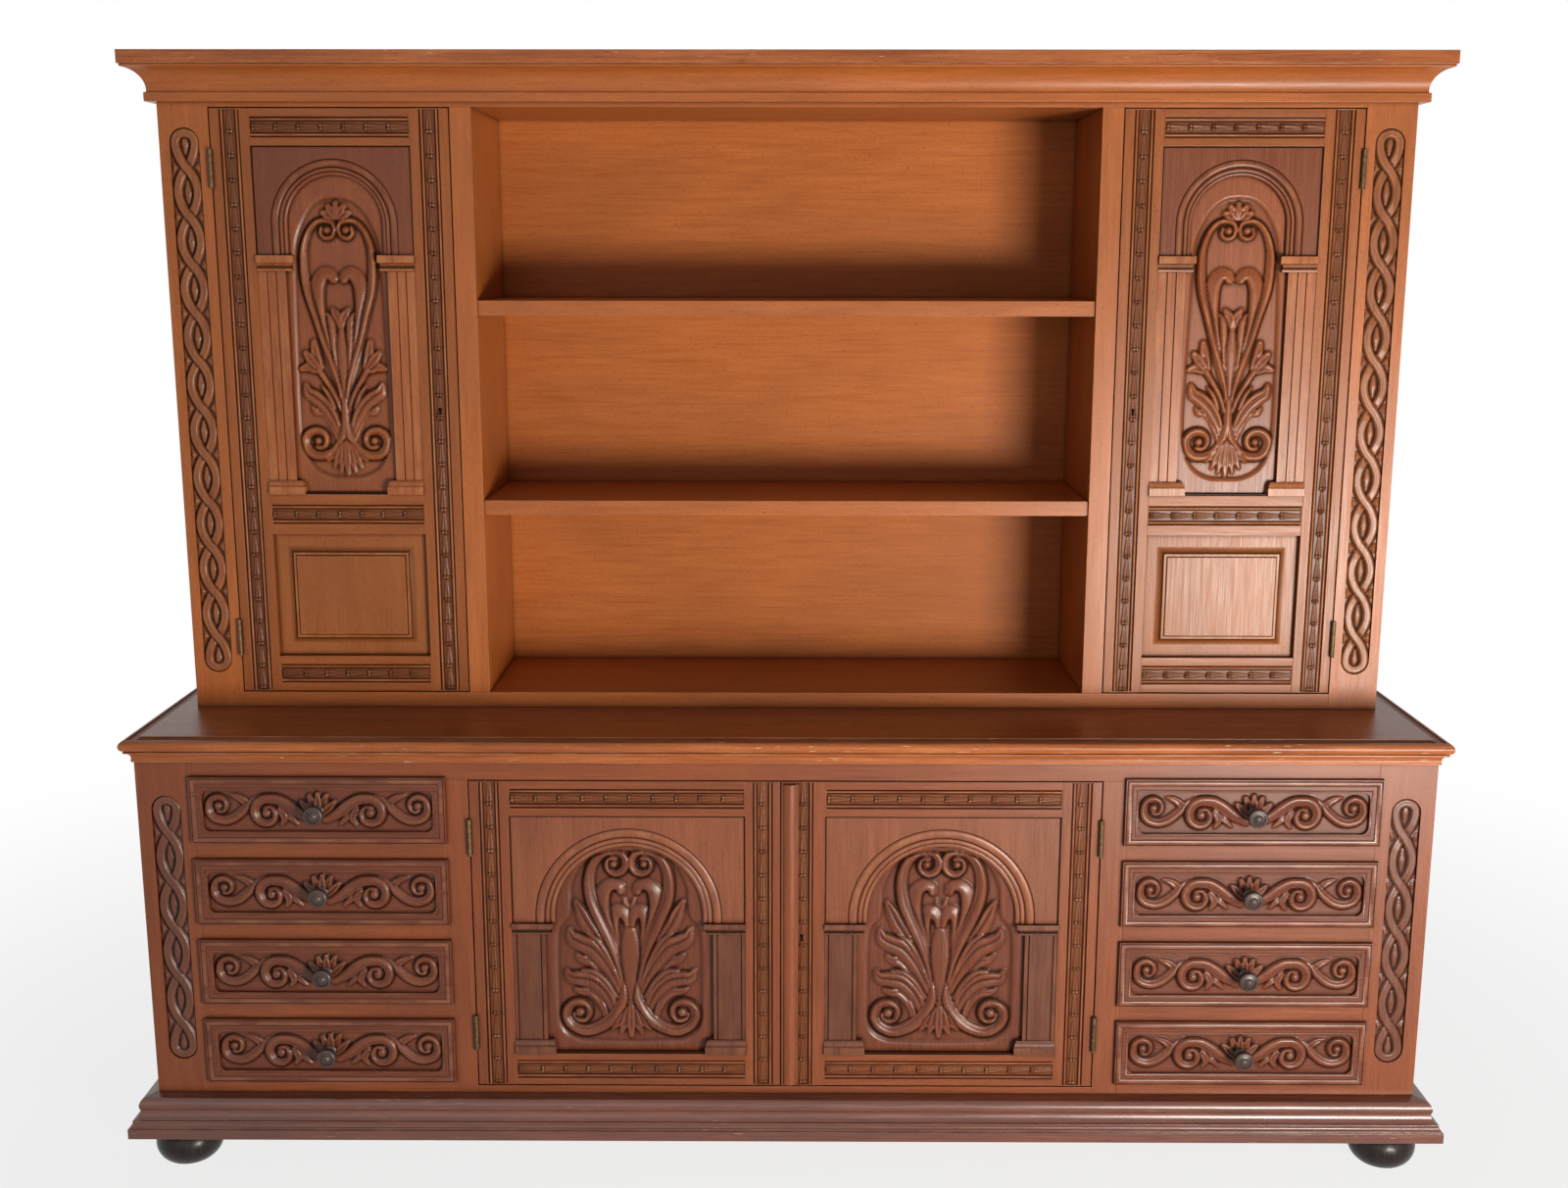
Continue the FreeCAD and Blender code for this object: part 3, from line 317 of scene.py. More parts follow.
# Straight-grained mahogany veneer on thin plywood: a lighter orange brown than the solid wood
veneer = timber("mahogany_veneer", "#A25A27", "#AE6430", "#B66C36", "#5A2A0C", "#C48A57", 0.45,
                figure=9 * MM, gloss=0.15)
joined_boards("base_ends_and_partitions", ["base_uprights"], base_wood, "carcass", "mahogany")
joined_boards("base_floor_and_shelf", ["base_inside_boards"], base_wood, "carcass", "mahogany")
joined_boards("drawer_runner_strips", ["drawer_runners"], inside_wood, "carcass", "hardwood")
joined_boards("back_boards", ["back_panels"], veneer, "carcass", "veneered_plywood", axis="x")


# Base face frame
# Rails and stiles of polished mahogany, jointed and glued to the front of the carcass. The corner stiles
# are wider and carry a sunk, round-ended track with two interlaced ribbons carved in it.

# Cross-sections of carved runs, from right to left as the run goes: (place across, share of the rise)
TUBE = ((-1, 0.15), (-0.9, 0.5), (-0.7, 0.8), (-0.35, 0.97), (0.35, 0.97), (0.7, 0.8), (0.9, 0.5),
        (1, 0.15))
RIDGED = ((-1, 0.15), (-0.9, 0.55), (-0.7, 0.85), (-0.35, 1), (0.05, 0.95), (0.4, 0.7), (0.6, 0.42),
          (0.76, 0.6), (0.9, 0.56), (1, 0.25))
LEAF = ((-1, 0.4), (-0.82, 0.88), (-0.6, 0.92), (-0.3, 0.7), (-0.08, 0.62), (0, 0.45), (0.08, 0.62),
        (0.3, 0.74), (0.6, 0.94), (0.82, 0.9), (1, 0.4))
CURLED = ((-1, 0.3), (-0.88, 0.78), (-0.66, 1.0), (-0.42, 0.9), (-0.2, 0.55), (-0.08, 0.38), (0.06, 0.5),
          (0.32, 0.64), (0.58, 0.54), (0.8, 0.36), (1, 0.16))
PLUMP = ((-1, 0.2), (-0.88, 0.7), (-0.6, 1.0), (-0.15, 0.97), (0.3, 0.74), (0.65, 0.5), (0.88, 0.36),
         (1, 0.16))
HUSK = ((-1, 0.3), (-0.85, 0.9), (-0.6, 1.0), (-0.3, 0.75), (-0.12, 0.6), (0, 0.3), (0.12, 0.6),
        (0.3, 0.75), (0.6, 1.0), (0.85, 0.9), (1, 0.3))
RIBBON = ((-1, 0.35), (-0.86, 0.86), (-0.62, 0.98), (0, 0.9), (0.62, 0.98), (0.86, 0.86), (1, 0.35))
# How far the groove beside a run reaches, in half widths
GROOVE_REACH = 1.22


def other_hand(section):
    """The same section for a run that turns the other way."""
    return tuple((-place, share) for place, share in reversed(section))


def smooth_curve(points, spacing=0.8):
    """A curve that passes smoothly through the points, as even steps in millimetres."""
    knots = np.asarray(points, float)
    knots = np.vstack([2 * knots[0] - knots[1], knots, 2 * knots[-1] - knots[-2]])
    t = np.linspace(0.0, 1.0, 16, endpoint=False)[:, None]
    spans = [(2 * b + (c - a) * t + (2 * a - 5 * b + 4 * c - d) * t ** 2
              + (3 * b - 3 * c + d - a) * t ** 3) / 2
             for a, b, c, d in zip(knots, knots[1:], knots[2:], knots[3:])]
    curve = np.vstack(spans + [knots[-2:-1]])
    run = np.concatenate([[0.0], np.cumsum(np.hypot(*np.diff(curve, axis=0).T))])
    even = np.linspace(0.0, run[-1], max(3, round(run[-1] / spacing)))
    return np.column_stack([np.interp(even, run, curve[:, axis]) for axis in (0, 1)])


def spiral(centre, start, turn, radii):
    """Points of a spiral from an angle in degrees, one radius for each quarter turn (turn 1: leftwards)."""
    quarters = np.linspace(0, len(radii) - 1, 4 * len(radii) - 3)
    angles = np.radians(start + turn * 90 * quarters)
    spread = np.interp(quarters, range(len(radii)), radii)
    return list(zip(centre[0] + spread * np.cos(angles), centre[1] + spread * np.sin(angles)))


def softened(height, times=1):
    """The heights after that many light sandings."""
    for _ in range(times):
        for axis in (0, 1):
            before = np.concatenate([height.take([0], axis),
                                     height.take(range(height.shape[axis] - 1), axis)], axis)
            after = np.concatenate([height.take(range(1, height.shape[axis]), axis),
                                    height.take([-1], axis)], axis)
            height = (before + 2 * height + after) / 4
    return height


class Carving:
    """Relief on a flat ground: heights in millimetres on a grid, with x from the middle and z upwards."""

    def __init__(self, x_limits, z_limits, step):
        self.x = np.linspace(*x_limits, round((x_limits[1] - x_limits[0]) / step) + 1)
        self.z = np.linspace(*z_limits, round((z_limits[1] - z_limits[0]) / step) + 1)
        self.height = np.zeros((len(self.z), len(self.x)))

    def near(self, centre, reach):
        """The window of the grid around a point, and how far its points lie from that point."""
        columns = slice(*np.searchsorted(self.x, (centre[0] - reach, centre[0] + reach)))
        rows = slice(*np.searchsorted(self.z, (centre[1] - reach, centre[1] + reach)))
        return (rows, columns), self.x[None, columns] - centre[0], self.z[rows, None] - centre[1]

    def run(self, points, halves, rises, section, groove=0.5, butted=False):
        """Carves a run over what is there: half widths and rises along it, a groove down its sides.

        A butted run ends square, without a groove past its ends."""
        curve = smooth_curve(points)
        share = np.linspace(0.0, 1.0, len(curve))
        halves = np.interp(share, np.linspace(0.0, 1.0, len(halves)), halves)
        rises = np.interp(share, np.linspace(0.0, 1.0, len(rises)), rises)
        heading = np.gradient(curve, axis=0)
        away = np.full(self.height.shape, 9.0)
        value = np.zeros(self.height.shape)
        capped = np.zeros(self.height.shape, bool)
        for index, centre in enumerate(curve):
            window, dx, dz = self.near(centre, halves[index] * GROOVE_REACH)
            distance = np.hypot(dx, dz) / halves[index]
            side = np.where(heading[index, 0] * dz > heading[index, 1] * dx, distance, -distance)
            nearer = distance < away[window]
            away[window][nearer] = distance[nearer]
            value[window][nearer] = rises[index] * np.interp(side, *zip(*section))[nearer]
            capped[window][nearer] = index in (0, len(curve) - 1)
        for index, way in ((0, -1), (-1, 1)) if butted else ():
            window, dx, dz = self.near(curve[index], 2 * halves[index])
            away[window][way * (heading[index, 0] * dx + heading[index, 1] * dz) > 0] = 9.0
        self.height = np.where(away < 1, value, self.height)
        self.height[(away >= 1) & (away < GROOVE_REACH) & ~capped] *= groove

    def ball(self, centre, radius, rise, foot=0.0):
        """A round bead."""
        window, dx, dz = self.near(centre, radius * GROOVE_REACH)
        distance = np.hypot(dx, dz) / radius
        dome = foot + rise * np.sqrt(np.clip(1 - distance ** 2, 0, 1))
        self.height[window] = np.where(distance < 1, dome, self.height[window] * 0.5)

    def mirror(self):
        """Repeats the right half's work on the left."""
        self.height = np.maximum(self.height, self.height[:, ::-1])

    def rim(self, points, level, slope):
        """Leaves the ground uncut, at a level, outside an outline that is given for the right half."""
        curve = smooth_curve(points, 1.0)
        curve = np.vstack([curve, curve[::-1] * (-1, 1)])
        inside = np.zeros(self.height.shape, bool)
        away = np.full(self.height.shape, float(slope))
        for (x0, z0), (x1, z1) in zip(curve, np.roll(curve, -1, axis=0)):
            crossed = (self.z > min(z0, z1)) & (self.z <= max(z0, z1))
            if crossed.any():
                at = x0 + (self.z[crossed] - z0) * (x1 - x0) / (z1 - z0)
                inside[crossed] ^= self.x[None, :] < at[:, None]
            window, dx, dz = self.near((x0, z0), slope)
            away[window] = np.minimum(away[window], np.hypot(dx, dz))
        edge = level * (1 - np.sin(np.where(inside, away, -away) / slope * math.pi / 2)) / 2
        self.height = np.where(inside, np.maximum(self.height, edge), edge)


# Depth in mm below its surroundings at which carved wood is painted all dark, as shade and old wax, and half
# the height at which it is all pale, as rubbing and a painted highlight. The surroundings are the heights
# after this many sandings.
CREVICE = 1.1
SURROUNDINGS = 14


def carved_piece(name, carving, place, finish, body, slot, axis, holes=()):
    """The relief as a piece whose ground lies at a place, without the grid points that fall in its holes."""
    columns, rows = len(carving.x), len(carving.z)
    x, z = np.meshgrid(carving.x, carving.z)
    points = np.column_stack([x.ravel(), -carving.height.ravel(), z.ravel()]) * MM + place
    number = np.arange(rows * columns).reshape(rows, columns)
    quads = np.stack([number[:-1, :-1], number[:-1, 1:], number[1:, 1:], number[1:, :-1]], -1)
    quads = quads.reshape(-1, 4)
    for centre, half_width, half_height in holes:
        aside, above = abs(points[:, 0] - centre[0]), abs(points[:, 2] - centre[2])
        quads = quads[~((aside < half_width) & (above < half_height))[quads].any(1)]
    used = np.unique(quads)
    # Below its surroundings the wood is painted darker, as shade and old wax; above them paler, as rubbing
    # and a painted highlight
    relief = (carving.height - softened(carving.height, SURROUNDINGS)).ravel() / CREVICE
    relief = np.clip(np.where(relief > 0, relief / 2, relief), -1, 1)
    return mesh_object(name, points[used], np.searchsorted(used, quads).tolist(),
                       grain_of(points, axis)[used], relief[used], finish, body, slot, smooth=True)


def sunk_further(floor, extra):
    """A reshaping of solids that lowers a sunk floor at y = floor, to make room for deeper relief."""
    def lowered(points, faces):
        points[np.isclose(points[:, 1], floor, atol=WELD), 1] += extra
        return points, faces
    return lowered


# Depth of a track in the solids, how much deeper it is here, how far the relief's own ground stands off
# that, and the relief's width in mm
TRACK_DEPTH = 3 * MM
TRACK_EXTRA = 2 * MM
GROUND_LIFT = 0.3 * MM
TRACK_WIDTH = 50.0


def ribbons(length, eyes, wear, step=1.2):
    """Two ribbons laced over each other along a track, with a seed in each eye and buds in the notches.

    The relief is multiplied by its wear."""
    carving = Carving((-TRACK_WIDTH / 2, TRACK_WIDTH / 2), (-length / 2, length / 2), step)
    # How far a ribbon swings to each side, its half width and its height
    swing, half, top = 16.9, 7.5, 5.2
    tip = length / 2 - half - 0.5
    pitch = 2 * (tip - swing) / (eyes - 1)
    crossings = [(k - eyes / 2) * pitch for k in range(1, eyes)]
    for z in crossings:
        for side in (-1, 1):
            for way in (6, -6):
                carving.run([(side * 15, z), (side * 23, z + way)], [2.6, 3.2, 1.5], [1.5, 2.6], TUBE)
            carving.ball((side * 20.5, z), 3.6, 2.6, 1.2)
    for k in range(eyes):
        z = (k - (eyes - 1) / 2) * pitch
        carving.run([(0, z + 0.24 * pitch), (0, z), (0, z - 0.24 * pitch)], [1, 5.0, 1], [1.5, 3.2, 1.5],
                    other_hand(LEAF))
    turns = np.linspace(-0.52, 0.52, 15)
    # At each crossing the ribbon that climbs to the right dips under the one that climbs to the left
    for way, middle in ((1, 0.62), (-1, 1.05)):
        for z in crossings:
            points = [(way * swing * math.copysign(abs(math.sin(math.pi * t)) ** 0.85, t), z + t * pitch)
                      for t in turns]
            carving.run(points, [half], [top, top, middle * top, top, top], RIBBON, 0.3, butted=True)
    for end in (-1, 1):
        z = end * (tip - swing)
        arc = [(swing * math.cos(a), z + end * swing * math.sin(a)) for a in np.linspace(0.0, math.pi, 13)]
        carving.run(arc, [half], [top], RIBBON, 0.3, butted=True)
    carving.height = wear * softened(carving.height, 2)
    return carving


def ribbon_tracks(name, node, track, eyes, wear, finish, carved):
    """The two corner stiles of a face frame, with their ribbons in the tracks."""
    margin, length, floor = track
    sunk = floor + TRACK_EXTRA
    joined_boards(name + "_boards", [node], finish, "carcass", "mahogany",
                  shaped=sunk_further(floor, TRACK_EXTRA))
    carving = ribbons(length / MM, eyes, wear)
    for solid in solids_of(node):
        low, high = limits(solid)
        side = "left" if low[0] < 0 else "right"
        place = np.array([(low[0] + high[0]) / 2, sunk - GROUND_LIFT, low[2] + margin + length / 2])
        carved_piece("%s_ribbons_%s" % (name, side), carving, place, carved, "carcass", "carved_mahogany",
                     "z")


# A track's margin below, its length and its floor
BASE_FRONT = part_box("base_corner_stiles")[0][1]
BASE_TRACK = (60 * MM, 481 * MM, BASE_FRONT + TRACK_DEPTH)
BASE_TRACK_EYES = 6
# Carved ribbons of the base, stained a shade darker than the stiles around them
base_ribbon_wood = timber("mahogany_base_ribbons", "#5A2E18", "#643420", "#703C26", "#1A0A05", "#99673F",
                          0.31, gloss=0.45)
joined_boards("base_face_frame_boards", ["base_face_frame"], base_wood, "carcass", "mahogany")
ribbon_tracks("base_corner_stiles", "base_corner_stiles", BASE_TRACK, BASE_TRACK_EYES, 0.8, base_wood,
              base_ribbon_wood)


# Worktop
# A mahogany board with a rounded nose and a hollow behind it on three sides, screwed down from inside, and
# small moulding strips below its edge. Years of use left pale nicks along the nose.

# The same mahogany, with its polish rubbed and scratched along the edges
top_wood = timber("mahogany_worktop", "#88471F", "#A0592C", "#B66E40", "#3A1A0C", "#E2C2A0", 0.33,
                  scuffs=1.0)
joined_boards("worktop_boards", ["base_top"], top_wood, "carcass", "mahogany")


# Drawers
# Eight drawers, each a plain hardwood box behind a lipped mahogany front with a carved field. Box and front
# are glued and nailed, and the drawer runs on wooden strips.

SIDES = ("left", "right")
DRAWERS_PER_SIDE = 4
# Mahogany that was carved and then stained darker, with stain and wax left in the hollows, which are
# darkened further as painted shade
carved_wood = timber("mahogany_carved", "#602E18", "#69341D", "#743B22", "#160904", "#9C6A4C", 0.31,
                     gloss=0.36)
# Depth of the carved field in the solids, and how much deeper it is cut here
FIELD_DEPTH = 4 * MM
FIELD_EXTRA = 2.5 * MM


def around(low, high, y, inset=0.0):
    """The corners of an upright rectangle at y, from the lower left one to the lower right one and round."""
    left, right, foot, head = low[0] + inset, high[0] - inset, low[2] + inset, high[2] - inset
    return [(left, y, foot), (right, y, foot), (right, y, head), (left, y, head)]


def swept(path, profile, up, closed=False, capped=False):
    """A moulding carried along a path with mitred corners, as points, faces and relief.

    The profile is a closed outline of (distance to the left of the path seen from its upper side, rise,
    relief), in millimetres. A closed path may be capped by the profile's last and first points instead."""
    path, up = np.array(path, float), np.array(up, float)
    profile = np.array(profile, float)
    ahead = np.roll(path, -1, 0) - path
    if not closed:
        ahead[-1] = ahead[-2]
    left = np.cross(up, ahead)
    left /= np.linalg.norm(left, axis=1)[:, None]
    before = np.roll(left, 1, 0)
    if not closed:
        before[0] = left[0]
    mitre = (left + before) / (1 + (left * before).sum(1))[:, None]
    points = (path[:, None] + mitre[:, None] * profile[None, :, :1] * MM + up * profile[None, :, 1:2] * MM)
    count, rows = len(profile), len(path)
    faces = []
    for row in range(rows if closed else rows - 1):
        after = (row + 1) % rows
        for corner in range(count - 1 if capped else count):
            beside = (corner + 1) % count
            faces.append([row * count + corner, after * count + corner, after * count + beside,
                          row * count + beside])
    if capped:
        faces.append([row * count + count - 1 for row in range(rows)])
        faces.append([row * count for row in reversed(range(rows))])
    elif not closed:
        faces.append(list(range(count)))
        faces.append([(rows - 1) * count + corner for corner in reversed(range(count))])
    return points.reshape(-1, 3), faces, np.tile(profile[:, 2], rows)


def moulded(name, pieces, finish, body, slot, axis=None):
    """One piece of several swept mouldings. Each follows its own length unless the grain's axis is given."""
    parts = [(points, faces, grain_of(points, axis), relief) for points, faces, relief in pieces]
    return mesh_object(name, *gathered(parts), finish, body, slot)


# Profiles from the outer edge inwards: the ovolo round a drawer front, and the bead round its carved field.
# Their quirks are painted dark, as shade and old wax, and their crests pale, as rubbing and a painted
# highlight
FRONT_OVOLO = ((0.5, -0.5, 0), (0.8, 0.45, 0.6), (2.3, 0.5, 0.6), (2.6, -0.1, -1), (3.1, 0.05, -0.9),
               (4.2, 0.9, 0.1), (6.0, 1.5, 0.8), (8.2, 1.7, 0.9), (10.4, 1.3, 0.3), (11.7, 0.6, -0.3),
               (12.2, 0.1, -1), (12.9, -0.1, -1))
FIELD_BEAD = ((-3.2, -0.1, -1), (-2.7, 0.1, -0.8), (-2.2, 0.7, 0.5), (-1.4, 1.0, 0.9), (-0.6, 0.7, 0.5),
              (-0.2, -0.5, 0))
# Half width and half height of the field in mm
FIELD_HALF = (196.0, 38.0)


def drawer_scrolls():
    """Two pairs of running scrolls with leaves in their forks, and a palmette behind the knob."""
    carving = Carving((-FIELD_HALF[0], FIELD_HALF[0]), (-FIELD_HALF[1], FIELD_HALF[1]), 1.1)
    for line in ([(62, 6), (52, -8), (36, -25)], [(64, 0), (58, -14), (64, -27)],
                 [(118, 10), (131, 21), (147, 27)]):
        carving.run(line, [6, 6.5, 5, 2], [4.2, 4.6, 3.4], LEAF)
    carving.run([(98, 26), (112, 16), (127, 0), (143, -13), (158, -18)]
                + spiral((168.5, 7), -90, 1, [24, 17, 16.5, 12, 7]),
                [2.5, 5, 7.4, 8, 8, 7.6, 7.2, 6.8, 6.2, 5.6, 5], [3.8, 5.4, 6, 6.2, 6.2, 6], RIDGED)
    carving.ball((169, 8), 7, 4, 2)
    carving.run([(12, -16), (34, -4), (52, 10), (68, 19), (84, 20.5)]
                + spiral((87.5, -5), 80, -1, [25, 20, 17.5, 13, 7.5]),
                [7, 9, 10, 9.6, 9, 8.4, 8, 7.4, 6.8, 6, 5.4], [5, 6.2, 6.4, 6.4, 6.2, 6], other_hand(RIDGED))
    carving.ball((88, -5), 7.5, 4, 2)
    for angle in (66, 36):
        reach = np.array((math.cos(math.radians(angle)), math.sin(math.radians(angle))))
        carving.run([(0, -10), 18 * reach + (0, -9), 35 * reach + (0, -6)], [2, 6, 7, 4], [4, 6, 5.4], LEAF)
    carving.mirror()
    carving.run([(0, -12), (0, 12), (0, 30)], [3, 7, 6.5, 3.5], [4, 6.2, 5.4], LEAF)
    carving.height = softened(carving.height, 2)
    return carving


scrolls = drawer_scrolls()
reach = np.array([FIELD_HALF[0], 0.0, FIELD_HALF[1]]) * MM
for side in SIDES:
    for number in range(1, DRAWERS_PER_SIDE + 1):
        drawer = "drawer_%s_%d" % (side, number)
        low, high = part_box(drawer + "_front")
        floor = low[1] + FIELD_DEPTH
        middle = np.add(low, high) / 2
        middle[1] = floor + FIELD_EXTRA - GROUND_LIFT
        joined_boards(drawer + "_front_board", [drawer + "_front"], carved_wood, drawer, "carved_mahogany",
                      shaped=sunk_further(floor, FIELD_EXTRA))
        carved_piece(drawer + "_scrolls", scrolls, middle, carved_wood, drawer, "carved_mahogany", "x")
        moulded(drawer + "_mouldings",
                [swept(around(low, high, low[1]), FRONT_OVOLO, (0, -1, 0), closed=True),
                 swept(around(middle - reach, middle + reach, low[1]), FIELD_BEAD, (0, -1, 0), closed=True)],
                carved_wood, drawer, "carved_mahogany", "x")
        joined_boards(drawer + "_box_boards", [drawer + "_box"], inside_wood, drawer, "hardwood")
        joined_boards(drawer + "_knob_turned", [drawer + "_knob"], knob_wood, drawer, "dark_stained_wood",
                      axis="y")


# Base doors
# A pair of framed doors. Stiles and rails carry sunk strips with two reeds and a chain of husks, and the
# panel is carved with an arch on pilasters over a niche full of acanthus. The right door's cover strip hides
# the gap between them.

# Sunk strips: depth, half width, and plain wood left at their ends by the solids and here
STRIP_DEPTH = 2.5 * MM
STRIP_HALF = 17 * MM
SOLID_STRIP_END = 6 * MM
STRIP_END = 1.8 * MM
# A board narrower than this has no strip, and points this close to a face are on it
STRIP_BOARD = 50 * MM
NEARLY = 0.02 * MM
# Length of a husk and step of its relief, in mm, and half the opening that a keyhole leaves in the chain
HUSK_PITCH = 41.0
HUSK_STEP = 0.95
KEYHOLE = (2.9 * MM, 5.9 * MM)
# How far a panel's tongue reaches into the grooves of its frame
TONGUE = 8 * MM
# Chains of husks, stained a shade darker than the frames and waxed
husk_wood = timber("mahogany_husks", "#653619", "#713E20", "#7D4727", "#1C0B05", "#C4936A", 0.3, gloss=0.2)


def cleared(points, faces):
    """A stile or rail whose sunk strip has a level floor and plain walls, and runs out to its ends."""
    low, high = points.min(0), points.max(0)
    lengthwise, across = (2, 0) if high[2] - low[2] > high[0] - low[0] else (0, 2)
    if high[across] - low[across] < STRIP_BOARD:
        return points, faces
    floor = low[1] + STRIP_DEPTH
    half = (high[lengthwise] - low[lengthwise]) / 2 - SOLID_STRIP_END
    from_middle = points - (low + high) / 2
    beyond_side = abs(from_middle[:, across]) - STRIP_HALF
    beyond_end = abs(from_middle[:, lengthwise]) - half
    sunk = (beyond_side < NEARLY) & (beyond_end < NEARLY) & (points[:, 1] < floor + NEARLY)
    kept = [corners for corners in faces if not sunk[corners].all()]
    edges = {edge for corners in kept for edge in zip(corners, corners[1:] + corners[:1])}
    rim = {index for edge in edges for index in edge if sunk[index]}
    outline = {index for index in rim if beyond_side[index] > -NEARLY or beyond_end[index] > -NEARLY}
    at_end = [index for index in outline if beyond_end[index] > -NEARLY]
    points[at_end, lengthwise] += np.sign(from_middle[at_end, lengthwise]) * (SOLID_STRIP_END - STRIP_END)
    points[sorted(rim - outline), 1] = floor
    reach = np.zeros(3)
    reach[across], reach[lengthwise] = STRIP_HALF, half + SOLID_STRIP_END - STRIP_END
    first = len(points)
    floor_corners = around((low + high) / 2 - reach, (low + high) / 2 + reach, floor)
    points = np.vstack([points, floor_corners])
    for side, (start, stop) in enumerate(zip(floor_corners, floor_corners[1:] + floor_corners[:1])):
        along = np.subtract(stop, start) / np.linalg.norm(np.subtract(stop, start))
        aside = np.array([along[2], 0.0, -along[0]])
        wall = [index for index in outline if abs((points[index] - start) @ aside) < NEARLY]
        wall.sort(key=lambda index: points[index] @ along)
        kept.append(wall + [first + (side + 1) % 4, first + side])
    loops = [[first + corner for corner in range(4)]]
    after = {a: b for a, b in edges if a in rim - outline and b in rim - outline and (b, a) not in edges}
    while after:
        loop = [next(iter(after))]
        while loop[-1] in after:
            loop.append(after.pop(loop[-1]))
        loops.append(loop[:-1])
    order = [index for loop in loops for index in loop]
    for triangle in tessellate_polygon([[Vector(points[index]) for index in loop] for loop in loops]):
        kept.append([order[corner] for corner in triangle])
    return points, kept


def husk_unit(pitch):
    """One husk of a hanging chain: a bell with a vein and two lips at its mouth, and two beads below."""
    carving = Carving((-8.5, 8.5), (-pitch / 2, pitch / 2), HUSK_STEP)
    foot = -pitch / 2 + 9
    carving.run([(0, pitch / 2 - 1), (0, 6), (0, -2), (0, foot + 1)], [2.2, 2.8, 3.4, 4.2, 4.9],
                [0.9, 1.1, 1.3, 1.5, 1.7], HUSK, 0.4)
    for side in (-1, 1):
        carving.ball((side * 2.6, foot - 4.6), 2.7, 2.7, 0.9)
    return carving


def husk_chain(name, low, high, lengthwise, door, keyhole=None):
    """A chain of husks along the sunk strip of one stile or rail, whose corners are given."""
    length = (high[lengthwise] - low[lengthwise] - 2 * STRIP_END) / MM
    count = round(length / HUSK_PITCH)
    chain = husk_unit(length / count)
    chain.height = np.concatenate([chain.height[:-1]] * (count - 1) + [chain.height])
    chain.z = np.linspace(-length / 2, length / 2, len(chain.height))
    if lengthwise == 0:
        chain.x, chain.z, chain.height = chain.z, chain.x, chain.height.T
    place = (low + high) / 2
    place[1] = low[1] + STRIP_DEPTH - GROUND_LIFT
    holes = [(keyhole, KEYHOLE[0], KEYHOLE[1])] if keyhole is not None else []
    carved_piece(name, chain, place, husk_wood, door, "carved_mahogany", "xyz"[lengthwise], holes)


# One side of a strip: the quirk at its wall, its reed, and the ground as far as the husks. Quirk and ground
# are painted dark, as shade and old wax, and the reed's top pale, as rubbing and a painted highlight
REED_SIDE = ((0, 0, -1), (0, 0.5, -1), (1.6, 0.12, -1), (2.1, 0.5, -0.8), (2.6, 1.5, -0.1), (3.4, 2.2, 0.6),
             (4.4, 2.42, 0.9), (5.4, 2.1, 0.6), (6.1, 1.3, -0.2), (6.5, 0.4, -1), (6.9, 0.1, -1),
             (8.7, 0.1, -1), (8.7, 0, -1))
# The open joint round a panel that has shrunk in its frame, as a shallow strip painted dark: painted shadow
# in the gap
OPEN_JOINT = ((0, 0, -1), (0, 0.8, -1), (0.5, 0.2, -1), (2.4, 0.12, -1), (2.8, 0, -0.8))


def door_frame(door, finish, rails, keyhole=None):
    """Stiles and rails of a framed door, with reeds and a chain of husks in the strip of each."""
    node = door + "_frame"
    boards = [limits(solid) for solid in solids_of(node)[:2 + rails]]
    joined_boards(node + "_boards", [node], finish, door, "mahogany", shaped=cleared,
                  sunk=boards[0][0][1] + STRIP_DEPTH)
    reeds = []
    for index, (low, high) in enumerate(boards):
        lengthwise, across = (2, 0) if index < 2 else (0, 2)
        husk_chain("%s_husks_%d" % (door, index + 1), low, high, lengthwise, door,
                   keyhole if index == 0 else None)
        for side in (-1, 1):
            wall = (low + high) / 2
            wall[1] = low[1] + STRIP_DEPTH
            wall[across] += side * STRIP_HALF
            way = side if lengthwise == 2 else -side
            reach = np.zeros(3)
            reach[lengthwise] = way * ((high - low)[lengthwise] / 2 - STRIP_END)
            reeds.append(swept([wall - reach, wall + reach], REED_SIDE, (0, -1, 0)))
    moulded(door + "_reeds", reeds, finish, door, "mahogany")


def open_joint(name, node, face, finish, door):
    """The joint between a panel and its frame, a strip painted dark as the shadow in the gap."""
    path = around(*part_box(node), face, TONGUE)
    moulded(name, [swept(path, OPEN_JOINT, (0, -1, 0), closed=True)], finish, door, "carved_mahogany", "z")


# Profiles: the arch's two rolls with a groove beside each, across in shares of the ring's width; a capital
# under its shelf, and a foot block under its ovolo, up in shares of their height. Grooves and hollows are
# painted dark, as shade and old wax, and rolls and noses pale, as rubbing and a painted highlight
ARCH_ROLLS = ((0, 0, 0), (0.03, -1.5, -1), (0.07, -0.2, 0), (0.13, 0.6, 0.4), (0.22, 1.0, 0.8),
              (0.33, 0.9, 0.5), (0.42, 0.2, 0), (0.47, -1.2, -0.6), (0.5, -2.2, -1), (0.53, -1.3, -0.3),
              (0.57, -0.7, 0.3), (0.64, -0.5, 0.6), (0.71, -0.9, 0.2), (0.75, -2.6, -1), (0.79, -2.0, -0.2),
              (0.84, -1.6, 0.5), (0.91, -2.0, 0.4), (0.97, -3.2, 0), (1.0, -5.0, -0.4), (1.03, -13.2, -1),
              (0.9, -13.2, -1), (0, -4, 0))
